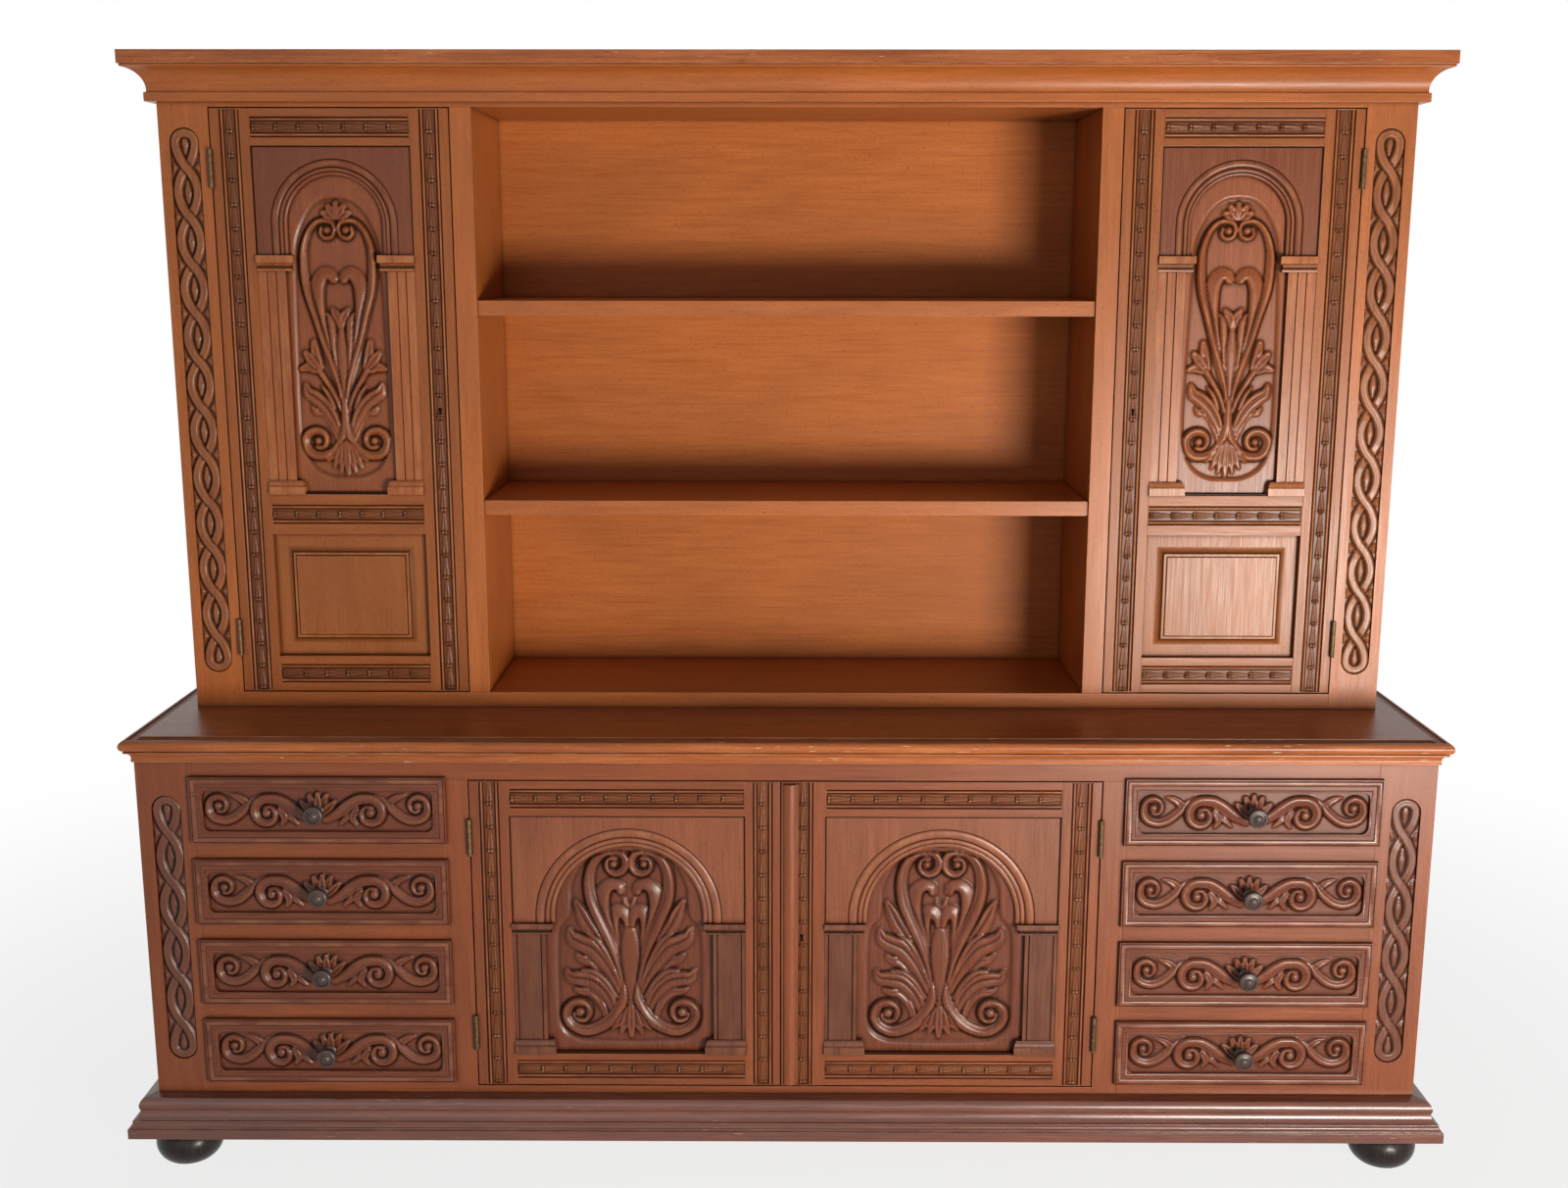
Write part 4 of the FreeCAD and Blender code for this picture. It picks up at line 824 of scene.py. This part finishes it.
CAPITAL = ((0, 0, 0), (-3.4, 0, -0.6), (-4.6, 0.03, 0), (-5.1, 0.1, 0.6), (-4.8, 0.17, 0), (-3.6, 0.2, -1),
           (-3.5, 0.33, -0.8), (-4.0, 0.42, -0.3), (-5.2, 0.49, 0), (-7.4, 0.53, -0.5), (-8.4, 0.55, 0.8),
           (-8.4, 0.96, 0.6), (-7.9, 1.0, 0.6), (0, 1.0, 0))
FOOT_BLOCK = ((0, 0, 0), (-7.6, 0, 0), (-7.9, 0.02, 0.4), (-7.9, 0.55, 0.8), (-7.2, 0.57, 0),
              (-7.0, 0.6, -0.6), (-6.9, 0.7, 0), (-6.2, 0.8, 0.5), (-5.0, 0.89, 0.3), (-4.2, 0.94, 0),
              (-4.0, 0.96, -0.7), (-3.6, 1.01, 0.3), (0, 1.01, 0))
# Steps round the arch's half circle
ARCH_STEPS = 56
# Thickness of a pilaster in mm, its eased edge, and its incised lines: wood left under them, and half their
# widths at the bottom and at the face
PILASTER_FACE = 1.3
PILASTER_EDGE = 0.4
LINE_DEPTH_LEFT = 0.15
LINE_HALF = (0.3, 1.1)
# How far the capital's own mouldings stand out of its block, and how deep blocks and capitals return
CAPITAL_NOSE = 7.2 * MM
RETURN = 12 * MM


def arch_trim(door, panel, face, radii, heights, pilaster, capital, block_height, lines, ring_finish,
              finish):
    """The arch's rolled ring, and pilasters with incised lines between their foot blocks and capitals.

    The heights of the arch's centre and of its springing are measured from the foot of the panel's face."""
    low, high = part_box(panel)
    middle = (low[0] + high[0]) / 2
    half = (high[0] - low[0]) / 2 - TONGUE
    foot = low[2] + TONGUE
    outer, inner = radii
    centre, spring = foot + heights[0], foot + heights[1]
    turns = np.linspace(0.0, math.pi, ARCH_STEPS + 1)
    path = [(middle + outer, face, spring)]
    path += [(middle + outer * math.cos(turn), face, centre + outer * math.sin(turn)) for turn in turns]
    path += [(middle - outer, face, spring)]
    band = (outer - inner) / MM
    ring = [(across * band, rise, hollow) for across, rise, hollow in ARCH_ROLLS]
    moulded(door + "_arch_ring", [swept(path, ring, (0, -1, 0))], ring_finish, door, "carved_mahogany", "z")
    trim = []
    for side in (-1, 1):
        wall, edge = middle + side * half, middle + side * (half - pilaster)
        shelf = middle + side * (half - capital[0] + CAPITAL_NOSE)
        width = pilaster / MM
        # The incised lines are painted dark as shade, and the eased edges pale, as rubbing and a painted
        # highlight
        front = [(0, 0, 0), (0, PILASTER_FACE - PILASTER_EDGE, 0.3), (PILASTER_EDGE, PILASTER_FACE, 0.6)]
        for share in lines:
            front += [(share * width - LINE_HALF[1], PILASTER_FACE, 0.2),
                      (share * width - LINE_HALF[0], LINE_DEPTH_LEFT, -1),
                      (share * width + LINE_HALF[0], LINE_DEPTH_LEFT, -1),
                      (share * width + LINE_HALF[1], PILASTER_FACE, 0.2)]
        front += [(width - PILASTER_EDGE, PILASTER_FACE, 0.6), (width, PILASTER_FACE - PILASTER_EDGE, 0.3),
                  (width, 0, 0)]
        right = max(wall, edge)
        trim.append(swept([(right, face, foot + block_height), (right, face, spring - capital[1])], front,
                          (0, -1, 0)))
        run = [(wall, face), (shelf, face), (shelf, face + RETURN)]
        if side > 0:
            run = run[::-1]
        for base, height, profile in ((foot, block_height, FOOT_BLOCK),
                                      (spring - capital[1], capital[1], CAPITAL)):
            shaped = [(out, rise * height / MM, hollow) for out, rise, hollow in profile]
            trim.append(swept([(x, y, base) for x, y in run], shaped, (0, 0, 1)))
    moulded(door + "_pilasters", trim, finish, door, "carved_mahogany", "z")


# How far a panel's face lies behind its frame's, how deep its niche is in the solids, and how much more here
PANEL_SET_BACK = 3 * MM
NICHE_DEPTH = 10 * MM
NICHE_EXTRA = 3 * MM


def carved_panel(door, node, name, front, arch, finish, trim_finish):
    """A door's panel, set back from its frame's front: deeper niche, open joints, and arch on pilasters."""
    face = front + PANEL_SET_BACK
    joined_boards(name, [node], finish, door, "carved_mahogany", axis="z",
                  shaped=sunk_further(face + NICHE_DEPTH, NICHE_EXTRA))
    open_joint(door + "_panel_joint_shadow", node, face, finish, door)
    arch_trim(door, node, face, ring_finish=finish, finish=trim_finish, **arch)


def niche_foot(node, front, lift):
    """Where a carving's foot stands on the ground of the panel's niche."""
    low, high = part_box(node)
    ground = front + PANEL_SET_BACK + NICHE_DEPTH + NICHE_EXTRA - GROUND_LIFT
    return np.array([(low[0] + high[0]) / 2, ground, low[2] + TONGUE + lift])


def base_leaves():
    """Acanthus that rises from two volutes at the foot to two at the head, in a recess with a round head."""
    carving = Carving((-146.0, 146.0), (-2.0, 380.0), 1.25)
    # Flames, then the two leaves that curl inwards
    carving.run([(9, 286), (5, 268), (3, 246)], [2, 5, 5, 2], [3.5], TUBE)
    carving.run([(3, 236), (6, 254), (18, 265), (28, 254), (32, 232), (30, 200), (22, 160)],
                [5, 10, 12, 13, 13, 11.5, 9, 5], [5, 6, 5.8, 5.2, 4.6], PLUMP)
    carving.run([(14, 301), (17, 309), (31, 312), (44, 299), (48, 273), (44, 243), (35, 209), (22, 160),
                 (10, 110)],
                [8, 11, 13.5, 14, 13.5, 12.5, 11, 9, 6, 4], [6, 6.8, 6.4, 5.8, 5.2, 4.8, 4.2], PLUMP)
    # Side leaves from the top down, each with the lobe under it first
    carving.run([(86, 245), (79, 233), (60, 213), (42, 188), (28, 160)], [4, 8, 8.5, 7.5, 5.5, 3],
                [4.6, 5.2, 4.6], CURLED)
    carving.run([(93, 280), (87, 268), (74, 240), (55, 212), (36, 182), (20, 145)],
                [5, 11.5, 13, 12.5, 10.5, 7.5, 4], [5.4, 6.2, 5.8, 5], CURLED)
    carving.run([(91, 181), (84, 175), (66, 170), (46, 152), (28, 122), (15, 95)],
                [5, 10, 11.5, 10.5, 9, 7, 4], [4.4, 5.4, 5, 4.4], CURLED)
    carving.run([(105, 229), (100, 214), (86, 205), (64, 194), (43, 168), (26, 136), (13, 105)],
                [5, 14, 17, 17, 15, 12, 9, 5], [5.2, 6.4, 6.2, 5.6, 4.8], CURLED)
    carving.run([(74, 222), (58, 212), (42, 190), (27, 158)], [1.5, 4.5, 5, 4, 2], [6, 6.4, 5.4], TUBE, 0.7)
    carving.run([(96, 118), (86, 115), (70, 113), (56, 100), (47, 80), (43, 60)], [4, 8, 9, 8.5, 7, 5, 4],
                [4.6, 5.6, 5.6, 5], CURLED)
    carving.run([(111, 152), (104, 141), (88, 139), (66, 134), (46, 116), (33, 90), (28, 66)],
                [5, 12.5, 15, 15.5, 14, 11.5, 9, 6], [5.2, 6.4, 6.2, 5.6, 5], CURLED)
    carving.run([(84, 155), (62, 151), (41, 132), (25, 104)], [1.5, 4.5, 5, 4, 2], [5.8, 6.2, 5.4], TUBE,
                0.7)
    # Stem with the top volute, stem with the bottom volute, and their eyes
    carving.run([(3, 93), (10, 121), (21, 168), (35, 209), (50, 243), (64, 278), (69, 309), (66, 337),
                 (57, 356), (42, 369)]
                + spiral((23, 350), 90, 1, [22, 18, 18, 13.5, 8]),
                [3, 4, 5, 6.5, 8.5, 10, 10.5, 10.5, 10, 9, 8, 7.4, 7, 6.6, 6, 5.5],
                [4, 5.6, 6.4, 6.8, 7.2, 7.2, 7.6, 7.6, 7.2], RIDGED)
    carving.ball((26, 349), 6.5, 4.5, 2.6)
    carving.run([(6, 170), (8, 130), (15, 96), (30, 68), (54, 49), (80, 42), (102, 51)]
                + spiral((89, 76), -25, 1, [25, 20, 16.5, 14, 9]),
                [3, 5, 7, 9, 10.5, 11, 10.5, 10, 9.2, 8.6, 8, 7.2, 6.4, 5.6],
                [4, 5.2, 6, 6.8, 7.2, 7.4, 7.6, 7.6, 7], RIDGED)
    carving.ball((89, 77), 8.5, 5, 2.4)
    for tip, half in (((33, 44), 7.0), ((18, 36), 7.4)):
        carving.run([(1, 92), (tip[0] * 0.45, 66), tip], [1.5, half, half, 2], [2.5, 4.4, 3.6], LEAF)
    carving.mirror()
    carving.run([(0, 96), (0, 62), (0, 33)], [2, 6, 7.5, 4], [3.0, 5.0, 4.0], LEAF)
    carving.run([(0, 226), (0, 205), (0, 160), (0, 96)], [10, 15, 16.5, 15, 11, 7, 3], [3.0, 3.6, 3.6, 3.0],
                TUBE, 0.6)
    carving.rim([(0, 21), (50, 22), (95, 26), (122, 50), (126, 110), (126, 190), (122, 232), (106, 254),
                 (102, 280), (100, 309), (80, 350), (45, 368), (0, 373)], 3.4, 4.0)
    carving.height = softened(carving.height, 2)
    return carving


leaves = base_leaves()
# The foot of the acanthus, below that of the panel's face
ACANTHUS_FOOT = -4.5 * MM
# Middle of the right door's keyhole
BASE_KEYHOLE = np.array([28.4, 0.0, 426.05]) * MM
# The arch's outer and inner radius, the heights of its centre and its springing, a pilaster's width, its
# capital's width and height, its foot block's height, and the places of its lines in shares of its width
BASE_ARCH = {"radii": (161 * MM, 127 * MM), "heights": (251 * MM, 242 * MM), "pilaster": 56 * MM,
             "capital": (70 * MM, 20 * MM), "block_height": 26 * MM, "lines": (0.13, 0.87)}
# Pilasters of the base doors, between the colours of panel and carving
base_trim_wood = timber("mahogany_base_trim", "#572C18", "#5F321E", "#683A23", "#1A0B06", "#94603F", 0.31,
                        gloss=0.38)
# Panels of the base doors, a little redder than their frames, and darker where they are carved
panel_wood = timber("mahogany_door_panel", "#773F23", "#81472A", "#8C5032", "#220F08", "#A9714D", 0.32,
                    gloss=0.42)
for side, keyhole in (("left", None), ("right", BASE_KEYHOLE)):
    door = "base_door_" + side
    door_frame(door, base_wood, 2, keyhole)
    carved_panel(door, door + "_panel", door + "_panel_board", BASE_FRONT, BASE_ARCH, panel_wood,
                 base_trim_wood)
    carved_piece(door + "_acanthus", leaves, niche_foot(door + "_panel", BASE_FRONT, ACANTHUS_FOOT),
                 carved_wood, door, "carved_mahogany", "z")


# Hutch carcass
# Ends, partitions, shelves, floor and ceiling of solid mahogany in lighter polish, with the face frame and
# its carved corner stiles glued to the front. The back is the sheet of veneered plywood named above.

# Mahogany of the hutch, a lighter and warmer brown
hutch_wood = timber("mahogany_hutch", "#9A5524", "#A65D2B", "#B06632", "#331607", "#C48A5A", 0.34)
# The doors' frames in the same wood, handled more and browner
hutch_door_wood = timber("mahogany_hutch_doors", "#884A1F", "#935226", "#9C5A2C", "#2C1306", "#BC8455",
                         0.34, gloss=0.26)
HUTCH_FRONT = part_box("hutch_corner_stiles")[0][1]
HUTCH_TRACK = (64 * MM, 944 * MM, HUTCH_FRONT + TRACK_DEPTH)
HUTCH_TRACK_EYES = 12
# Carved ribbons of the hutch, stained a shade darker than the stiles around them
hutch_ribbon_wood = timber("mahogany_hutch_ribbons", "#74401E", "#884D29", "#9A5D36", "#241005", "#BC8455",
                           0.31)
joined_boards("hutch_ends_and_partitions", ["hutch_uprights"], hutch_wood, "carcass", "mahogany")
joined_boards("hutch_floor_and_ceiling", ["hutch_bottom_and_ceiling"], hutch_wood, "carcass", "mahogany")
joined_boards("hutch_shelf_boards", ["hutch_shelves"], hutch_wood, "carcass", "mahogany")
joined_boards("hutch_face_frame_boards", ["hutch_face_frame"], hutch_wood, "carcass", "mahogany")
ribbon_tracks("hutch_corner_stiles", "hutch_corner_stiles", HUTCH_TRACK, HUTCH_TRACK_EYES, 1.0, hutch_wood,
              hutch_ribbon_wood)


# Hutch doors
# Tall framed doors like those of the base, each with a lock. The upper panel is carved with an arch and a
# slim spray of leaves, and the lower one is a plain fielded panel with a hollow border.


def hutch_leaves():
    """A taller, thinner carving of the same kind, with two tulips, and a shell at the head and the foot."""
    carving = Carving((-89.0, 89.0), (-2.0, 545.0), 1.25)
    # The inner leaves, from the lancet outwards
    carving.run([(0, 288), (5, 305), (14, 321)], [4, 8, 8, 3], [4.4, 5.2, 4.4], LEAF)
    carving.run([(36, 305), (29, 309), (22, 300), (20, 272), (16, 236), (7, 190)], [5, 12, 13.5, 12, 9, 5],
                [5.2, 5.8, 5.4, 4.6], PLUMP)
    carving.run([(40, 352), (39, 366), (31, 376)], [6, 7, 5, 2], [4.6, 5.2, 4.6], TUBE)
    carving.run([(9, 373), (15, 380), (27, 379), (37, 360), (39, 330), (34, 288), (24, 240), (8, 178)],
                [9, 12.5, 13.5, 12.5, 11, 9, 7, 5, 3], [6, 6.6, 6.2, 5.6, 5], PLUMP)
    # Tulip and its stalk
    for line, halves in (([(49, 264), (46, 244), (38, 220)], [5, 8, 7, 3.5]),
                         ([(72, 218), (59, 221), (42, 213)], [4.5, 7.5, 7, 3.5]),
                         ([(64, 245), (55, 234), (41, 217)], [5, 8.5, 7, 3.5])):
        carving.run(line, halves, [4.4, 5.4, 5], LEAF)
    carving.run([(42, 216), (31, 198), (17, 174), (6, 146)], [5.5, 4.5, 4.5, 3.5], [5.2], TUBE)
    # Acanthus over the bottom volute
    carving.run([(56, 150), (50, 143), (40, 145), (28, 134), (18, 112), (13, 92)],
                [3.5, 7.5, 8.5, 8, 6.5, 4.5], [4.8, 5.6, 5.4, 5], CURLED)
    carving.run([(67, 190), (62, 176), (50, 168), (33, 152), (19, 128), (11, 104)],
                [4.5, 11, 12.5, 12, 10.5, 8, 5], [5.2, 6.2, 6, 5.4], CURLED)
    carving.run([(38, 188), (28, 174), (17, 150)], [1.5, 4.5, 4.5, 2], [5.8, 6, 5.2], TUBE, 0.7)
    # Stem with the top knob, then the bottom volute
    carving.run([(3, 150), (7, 185), (17, 222), (31.5, 266), (44, 311), (55, 351), (59, 387), (58, 420),
                 (49, 449), (35, 466), (20, 470), (8, 466), (4, 455), (9, 444), (19, 441), (26.5, 448),
                 (25, 457)],
                [3.5, 4, 4.5, 5, 5.5, 6, 6.5, 7, 7.5, 7.5, 7, 6, 5, 4.6, 4.4, 4.2, 4],
                [4.8, 5.6, 6, 6.2, 6.6, 6.8, 7.2, 7.4, 7, 6.6, 6.4], RIDGED)
    carving.ball((16, 454), 6.5, 4.4, 3)
    carving.run([(3, 168), (2.5, 140), (4, 115), (10, 90), (22, 74), (36, 68)]
                + spiral((49, 92), -80, 1, [25, 23, 18, 13, 9]),
                [3, 4.5, 6, 7, 7.6, 8, 8, 8, 7.4, 6.8, 6.2, 5.6], [4.8, 5.4, 5.8, 6.2, 6.6, 7, 7], RIDGED)
    carving.ball((49, 93), 6.5, 4.6, 2.6)
    for tip, half in (((35, 58), 5.4), ((25, 45), 6.0), ((13, 37), 6.0)):
        carving.run([(1, 96), (tip[0] * 0.45, 74), tip], [1.2, half, half, 1.5], [2.4, 4.2, 3.2], LEAF)
    for angle in (22, 56):
        reach = np.array((math.cos(math.radians(angle)), math.sin(math.radians(angle))))
        carving.run([(0, 473), 12 * reach + (0, 473), 24 * reach + (0, 474)], [2, 5, 7, 4.5],
                    [3.4, 4.8, 4.6], LEAF)
    carving.mirror()
    carving.run([(0, 98), (0, 66), (0, 34)], [1.5, 5.4, 6.0, 3], [2.8, 4.6, 3.4], LEAF)
    carving.run([(0, 474), (0, 499)], [2, 5.5, 4], [3.4, 5, 4.8], LEAF)
    carving.run([(0, 282), (0, 262), (0, 220), (0, 172)], [6, 9.5, 10, 8, 5, 2.5], [3.2, 3.8, 3.6, 3.0],
                TUBE, 0.6)
    carving.rim([(0, 28), (30, 30), (58, 46), (74, 78), (79, 120), (78, 250), (75, 383), (70, 440),
                 (48, 485), (24, 505), (0, 509)], 3.4, 3.4)
    carving.height = softened(carving.height, 2)
    return carving


def raised_board(door, finish):
    """A fielded panel: a flat margin, a hollow that rises from it, and a field with a fine step round it."""
    low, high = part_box(door + "_raised_panel")
    face = low[1]
    back = (face - high[1]) / MM
    # The hollow is painted darker towards the field and the fine step dark, as shade and old wax; the
    # margin's and the field's edges a little paler, as rubbing and a painted highlight
    profile = [(-TONGUE / MM, back, 0), (-TONGUE / MM, back / 2 - 1, 0), (0, back / 2 - 1, -0.6),
               (1.2, -9.0, -0.5), (8, -8.8, 0), (19.5, -8.4, 0.1), (20.3, -8.6, 0.2), (23, -8.4, -0.1),
               (26, -7.7, -0.25), (29, -6.5, -0.45), (31.4, -5.0, -0.65), (32.8, -3.6, -0.85),
               (33.3, -2.5, -0.4), (34.0, -1.9, 0.7), (37.6, -1.8, 0.3), (38.0, -2.3, -1),
               (39.0, -2.3, -1), (39.2, -0.8, 0.2), (39.8, -0.1, 0.8), (41.5, 0, 0)]
    path = around(low, high, face, TONGUE)
    panel = moulded(door + "_raised_board", [swept(path, profile, (0, -1, 0), closed=True, capped=True)],
                    finish, door, "mahogany", "z")
    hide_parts(door + "_raised_panel")


spray = hutch_leaves()
# Height of the keyholes above the floor
HUTCH_KEYHOLE_RISE = 1312.55 * MM
HUTCH_ARCH = {"radii": (108.5 * MM, 80.5 * MM), "heights": (463.5 * MM, 411.5 * MM), "pilaster": 48 * MM,
              "capital": (62 * MM, 27 * MM), "block_height": 24 * MM, "lines": (0.34, 0.66)}
# Pilasters, capitals and foot blocks of the hutch doors, rubbed nearly as light as the frames
hutch_trim_wood = timber("mahogany_hutch_trim", "#844621", "#98552B", "#A86437", "#2A1206", "#BF8656", 0.32)
# The fielded panels, calm in figure under a fuller gloss
hutch_raised_wood = timber("mahogany_hutch_fielded", "#8B4E22", "#935427", "#9B5B2E", "#1E0D05", "#BF8656",
                           0.32, figure=34 * MM, gloss=0.25)
# Panels of the hutch doors, redder and darker than their frames
hutch_panel_wood = timber("mahogany_hutch_panel", "#6A3216", "#71381A", "#7B4120", "#1E0C04", "#A36B42",
                          0.31)
# Their carving, with the polish rubbed thin
hutch_carved_wood = timber("mahogany_hutch_carved", "#7C3E1C", "#854520", "#904F28", "#220E05", "#BC8252",
                           0.31)
for side in SIDES:
    door = "hutch_door_" + side
    inner = limits(solids_of(door + "_frame")[0])
    keyhole = np.array([(inner[0][0] + inner[1][0]) / 2, 0.0, HUTCH_KEYHOLE_RISE])
    door_frame(door, hutch_door_wood, 3, keyhole)
    carved_panel(door, door + "_arch_panel", door + "_arch_board", HUTCH_FRONT, HUTCH_ARCH,
                 hutch_panel_wood, hutch_trim_wood)
    raised_board(door, hutch_raised_wood)
    carved_piece(door + "_spray", spray, niche_foot(door + "_arch_panel", HUTCH_FRONT, 0.0),
                 hutch_carved_wood, door, "carved_mahogany", "z")


# Hinges, locks and bolts
# Butt hinges of rolled brass, screwed to the frame and the door edges, and surface locks in brass cases
# inside the doors. The brass has gone brown and dull. The lock bolts are bare steel.


def worn_metal(name, bare, tarnish, roughness, covered):
    """Metal under a dull skin in patches of a few millimetres, on nodes that are kept as they are."""
    made = bpy.data.materials.new(name)
    made.use_nodes = True
    tree = made.node_tree
    shader = tree.nodes["Principled BSDF"]
    place = add(tree, "ShaderNodeTexCoord").outputs["Object"]
    patches = add(tree, "ShaderNodeTexNoise", {"Vector": place, "Scale": 1 / (6 * MM), "Detail": 4.0,
                                               "Roughness": 0.6}).outputs[0]
    specks = add(tree, "ShaderNodeTexNoise", {"Vector": place, "Scale": 1 / (1.2 * MM),
                                              "Detail": 2.0}).outputs[0]
    skin = ramp(tree, patches, [(0.35, plain_stop(covered - 0.4)), (0.65, plain_stop(covered))]).outputs[0]
    colour = add(tree, "ShaderNodeMix", {0: skin, 6: linear(bare), 7: linear(tarnish)},
                 data_type="RGBA").outputs[2]
    tree.links.new(colour, shader.inputs["Base Color"])
    dull = add(tree, "ShaderNodeMapRange", {0: skin, 3: roughness, 4: roughness + 0.22}).outputs[0]
    tree.links.new(dull, shader.inputs["Roughness"])
    bump = add(tree, "ShaderNodeBump", {"Strength": 0.3, "Distance": 0.1 * MM, "Height": specks}).outputs[0]
    tree.links.new(bump, shader.inputs["Normal"])
    shader.inputs["Metallic"].default_value = 1.0
    return made


# Brass gone brown with old polish, in patches
aged_brass = worn_metal("aged_brass_fittings", "#8E7650", "#4E3B2B", 0.34, 1.0)
# Bare steel of the lock bolts, grey with a little rust
lock_steel = worn_metal("lock_bolt_steel", "#9A9792", "#655648", 0.3, 0.6)
BRASS_NODES = ("hinge_fixed_leaves", "hutch_door_left_hardware", "hutch_door_right_hardware",
               "base_door_left_hardware", "base_door_right_hardware", "base_door_left_bolt")
STEEL_NODES = ("hutch_door_left_bolt", "hutch_door_right_bolt", "base_door_right_bolt")
for metal, nodes in ((aged_brass, BRASS_NODES), (lock_steel, STEEL_NODES)):
    for node in nodes:
        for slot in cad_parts[node].material_slots:
            slot.material = metal


# Cornice
# A cove moulding mitred round the front and both ends, with the square-edged top board over it.

joined_boards("cornice_moulding_boards", ["cornice_moulding"], hutch_wood, "carcass", "mahogany")
joined_boards("hutch_top_boards", ["hutch_top_board"], top_wood, "carcass", "mahogany")


# Room
# A pale painted floor that fades to plain white, a window's soft light low on the right, a weak fill from
# the front, and the camera where the photograph was taken.

# Width and focal length in the photograph's pixels, and the camera's place and angles in radians
PHOTO_WIDTH = 1600
FOCAL_PIXELS = 1710.7
CAMERA_PLACE = Vector((0.0102, -2.935, 1.5675))
CAMERA_TILT, CAMERA_PAN, CAMERA_ROLL = 0.19544, -0.00457, 0.0011


def camera_turn(tilt, pan, roll):
    """The camera's rotation: tilt down and pan to the right, in radians, then roll."""
    forward = Vector((math.sin(pan) * math.cos(tilt), math.cos(pan) * math.cos(tilt), -math.sin(tilt)))
    right = Vector((math.cos(pan), -math.sin(pan), 0.0))
    up = right.cross(forward)
    turned = Matrix((right, up, -forward)).transposed()
    return (turned @ Matrix.Rotation(roll, 3, "Z")).to_quaternion()


lens = bpy.data.cameras.new("camera")
lens.lens = FOCAL_PIXELS / PHOTO_WIDTH * lens.sensor_width
camera = bpy.data.objects.new("camera", lens)
camera.location = CAMERA_PLACE
camera.rotation_mode = "QUATERNION"
camera.rotation_quaternion = camera_turn(CAMERA_TILT, CAMERA_PAN, CAMERA_ROLL)
bpy.context.scene.collection.objects.link(camera)
bpy.context.scene.camera = camera

FLOOR_RADIUS = 14.0
FLOOR_SIDES = 96
# Share of white near the object, and the distances between which it grows to plain white
NEAR_WHITE = 0.8
FADE = (1.0, 3.2)


def seen_directly(tree):
    """1 on what the camera sees, also in gloss and through glass, and 0 where only light arrives."""
    path = add(tree, "ShaderNodeLightPath").outputs
    seen = add(tree, "ShaderNodeMath", {0: path["Is Camera Ray"], 1: path["Is Glossy Ray"]},
               operation="MAXIMUM").outputs[0]
    return add(tree, "ShaderNodeMath", {0: seen, 1: path["Is Transmission Ray"]},
               operation="MAXIMUM").outputs[0]


def seen_white(tree, surface, output):
    """Mixes plain white into what camera, gloss and glass see of a surface, and all of it far away."""
    place = add(tree, "ShaderNodeNewGeometry").outputs["Position"]
    far = add(tree, "ShaderNodeVectorMath", {0: place}, operation="LENGTH").outputs["Value"]
    share = add(tree, "ShaderNodeMapRange", {0: far, 1: FADE[0], 2: FADE[1], 3: NEAR_WHITE, 4: 1.0},
                interpolation_type="SMOOTHSTEP").outputs[0]
    amount = add(tree, "ShaderNodeMath", {0: seen_directly(tree), 1: share},
                 operation="MULTIPLY").outputs[0]
    white = add(tree, "ShaderNodeEmission", {"Color": (1.0, 1.0, 1.0, 1.0), "Strength": 1.0}).outputs[0]
    mixed = add(tree, "ShaderNodeMixShader", {0: amount, 1: surface, 2: white}).outputs[0]
    tree.links.new(mixed, output.inputs["Surface"])


floor_mesh = bpy.data.meshes.new("floor")
ring = [(FLOOR_RADIUS * math.cos(turn), FLOOR_RADIUS * math.sin(turn), 0.0)
        for turn in np.linspace(0.0, 2 * math.pi, FLOOR_SIDES, endpoint=False)]
floor_mesh.from_pydata(ring, [], [list(range(FLOOR_SIDES))])
floor = bpy.data.objects.new("floor", floor_mesh)
bpy.context.scene.collection.objects.link(floor)
paint = bpy.data.materials.new("pale_floor_paint")
paint.use_nodes = True
matt = paint.node_tree.nodes["Principled BSDF"]
matt.inputs["Base Color"].default_value = linear("#E9E7E3")
matt.inputs["Roughness"].default_value = 0.8
seen_white(paint.node_tree, matt.outputs[0], paint.node_tree.nodes["Material Output"])
floor_mesh.materials.append(paint)

# Strength of the room's own light on things, against the plain white that is seen
AMBIENT = 0.115
world = bpy.data.worlds.new("white_studio")
world.use_nodes = True
bpy.context.scene.world = world
strength = add(world.node_tree, "ShaderNodeMapRange",
               {0: seen_directly(world.node_tree), 3: AMBIENT, 4: 1.0}).outputs[0]
world.node_tree.links.new(strength, world.node_tree.nodes["Background"].inputs["Strength"])
world.node_tree.nodes["Background"].inputs["Color"].default_value = (1.0, 1.0, 1.0, 1.0)


def lamp(name, place, target, size, watts, colour):
    """A soft panel lamp that faces its target."""
    light = bpy.data.lights.new(name, "AREA")
    light.shape = "RECTANGLE"
    light.size, light.size_y = size
    light.energy = watts
    light.color = linear(colour)[:3]
    holder = bpy.data.objects.new(name, light)
    holder.location = place
    holder.rotation_mode = "QUATERNION"
    holder.rotation_quaternion = (Vector(target) - Vector(place)).to_track_quat("-Z", "Y")
    bpy.context.scene.collection.objects.link(holder)


lamp("low_right_window", (1.75, -3.1, 0.5), (0.0, 0.0, 1.05), (1.1, 0.7), 132, "#FFF6EC")
lamp("front_fill", (-1.2, -4.2, 1.5), (0.0, 0.0, 0.9), (3.0, 2.2), 13, "#F3F5FF")
bpy.context.scene.view_settings.view_transform = "Standard"
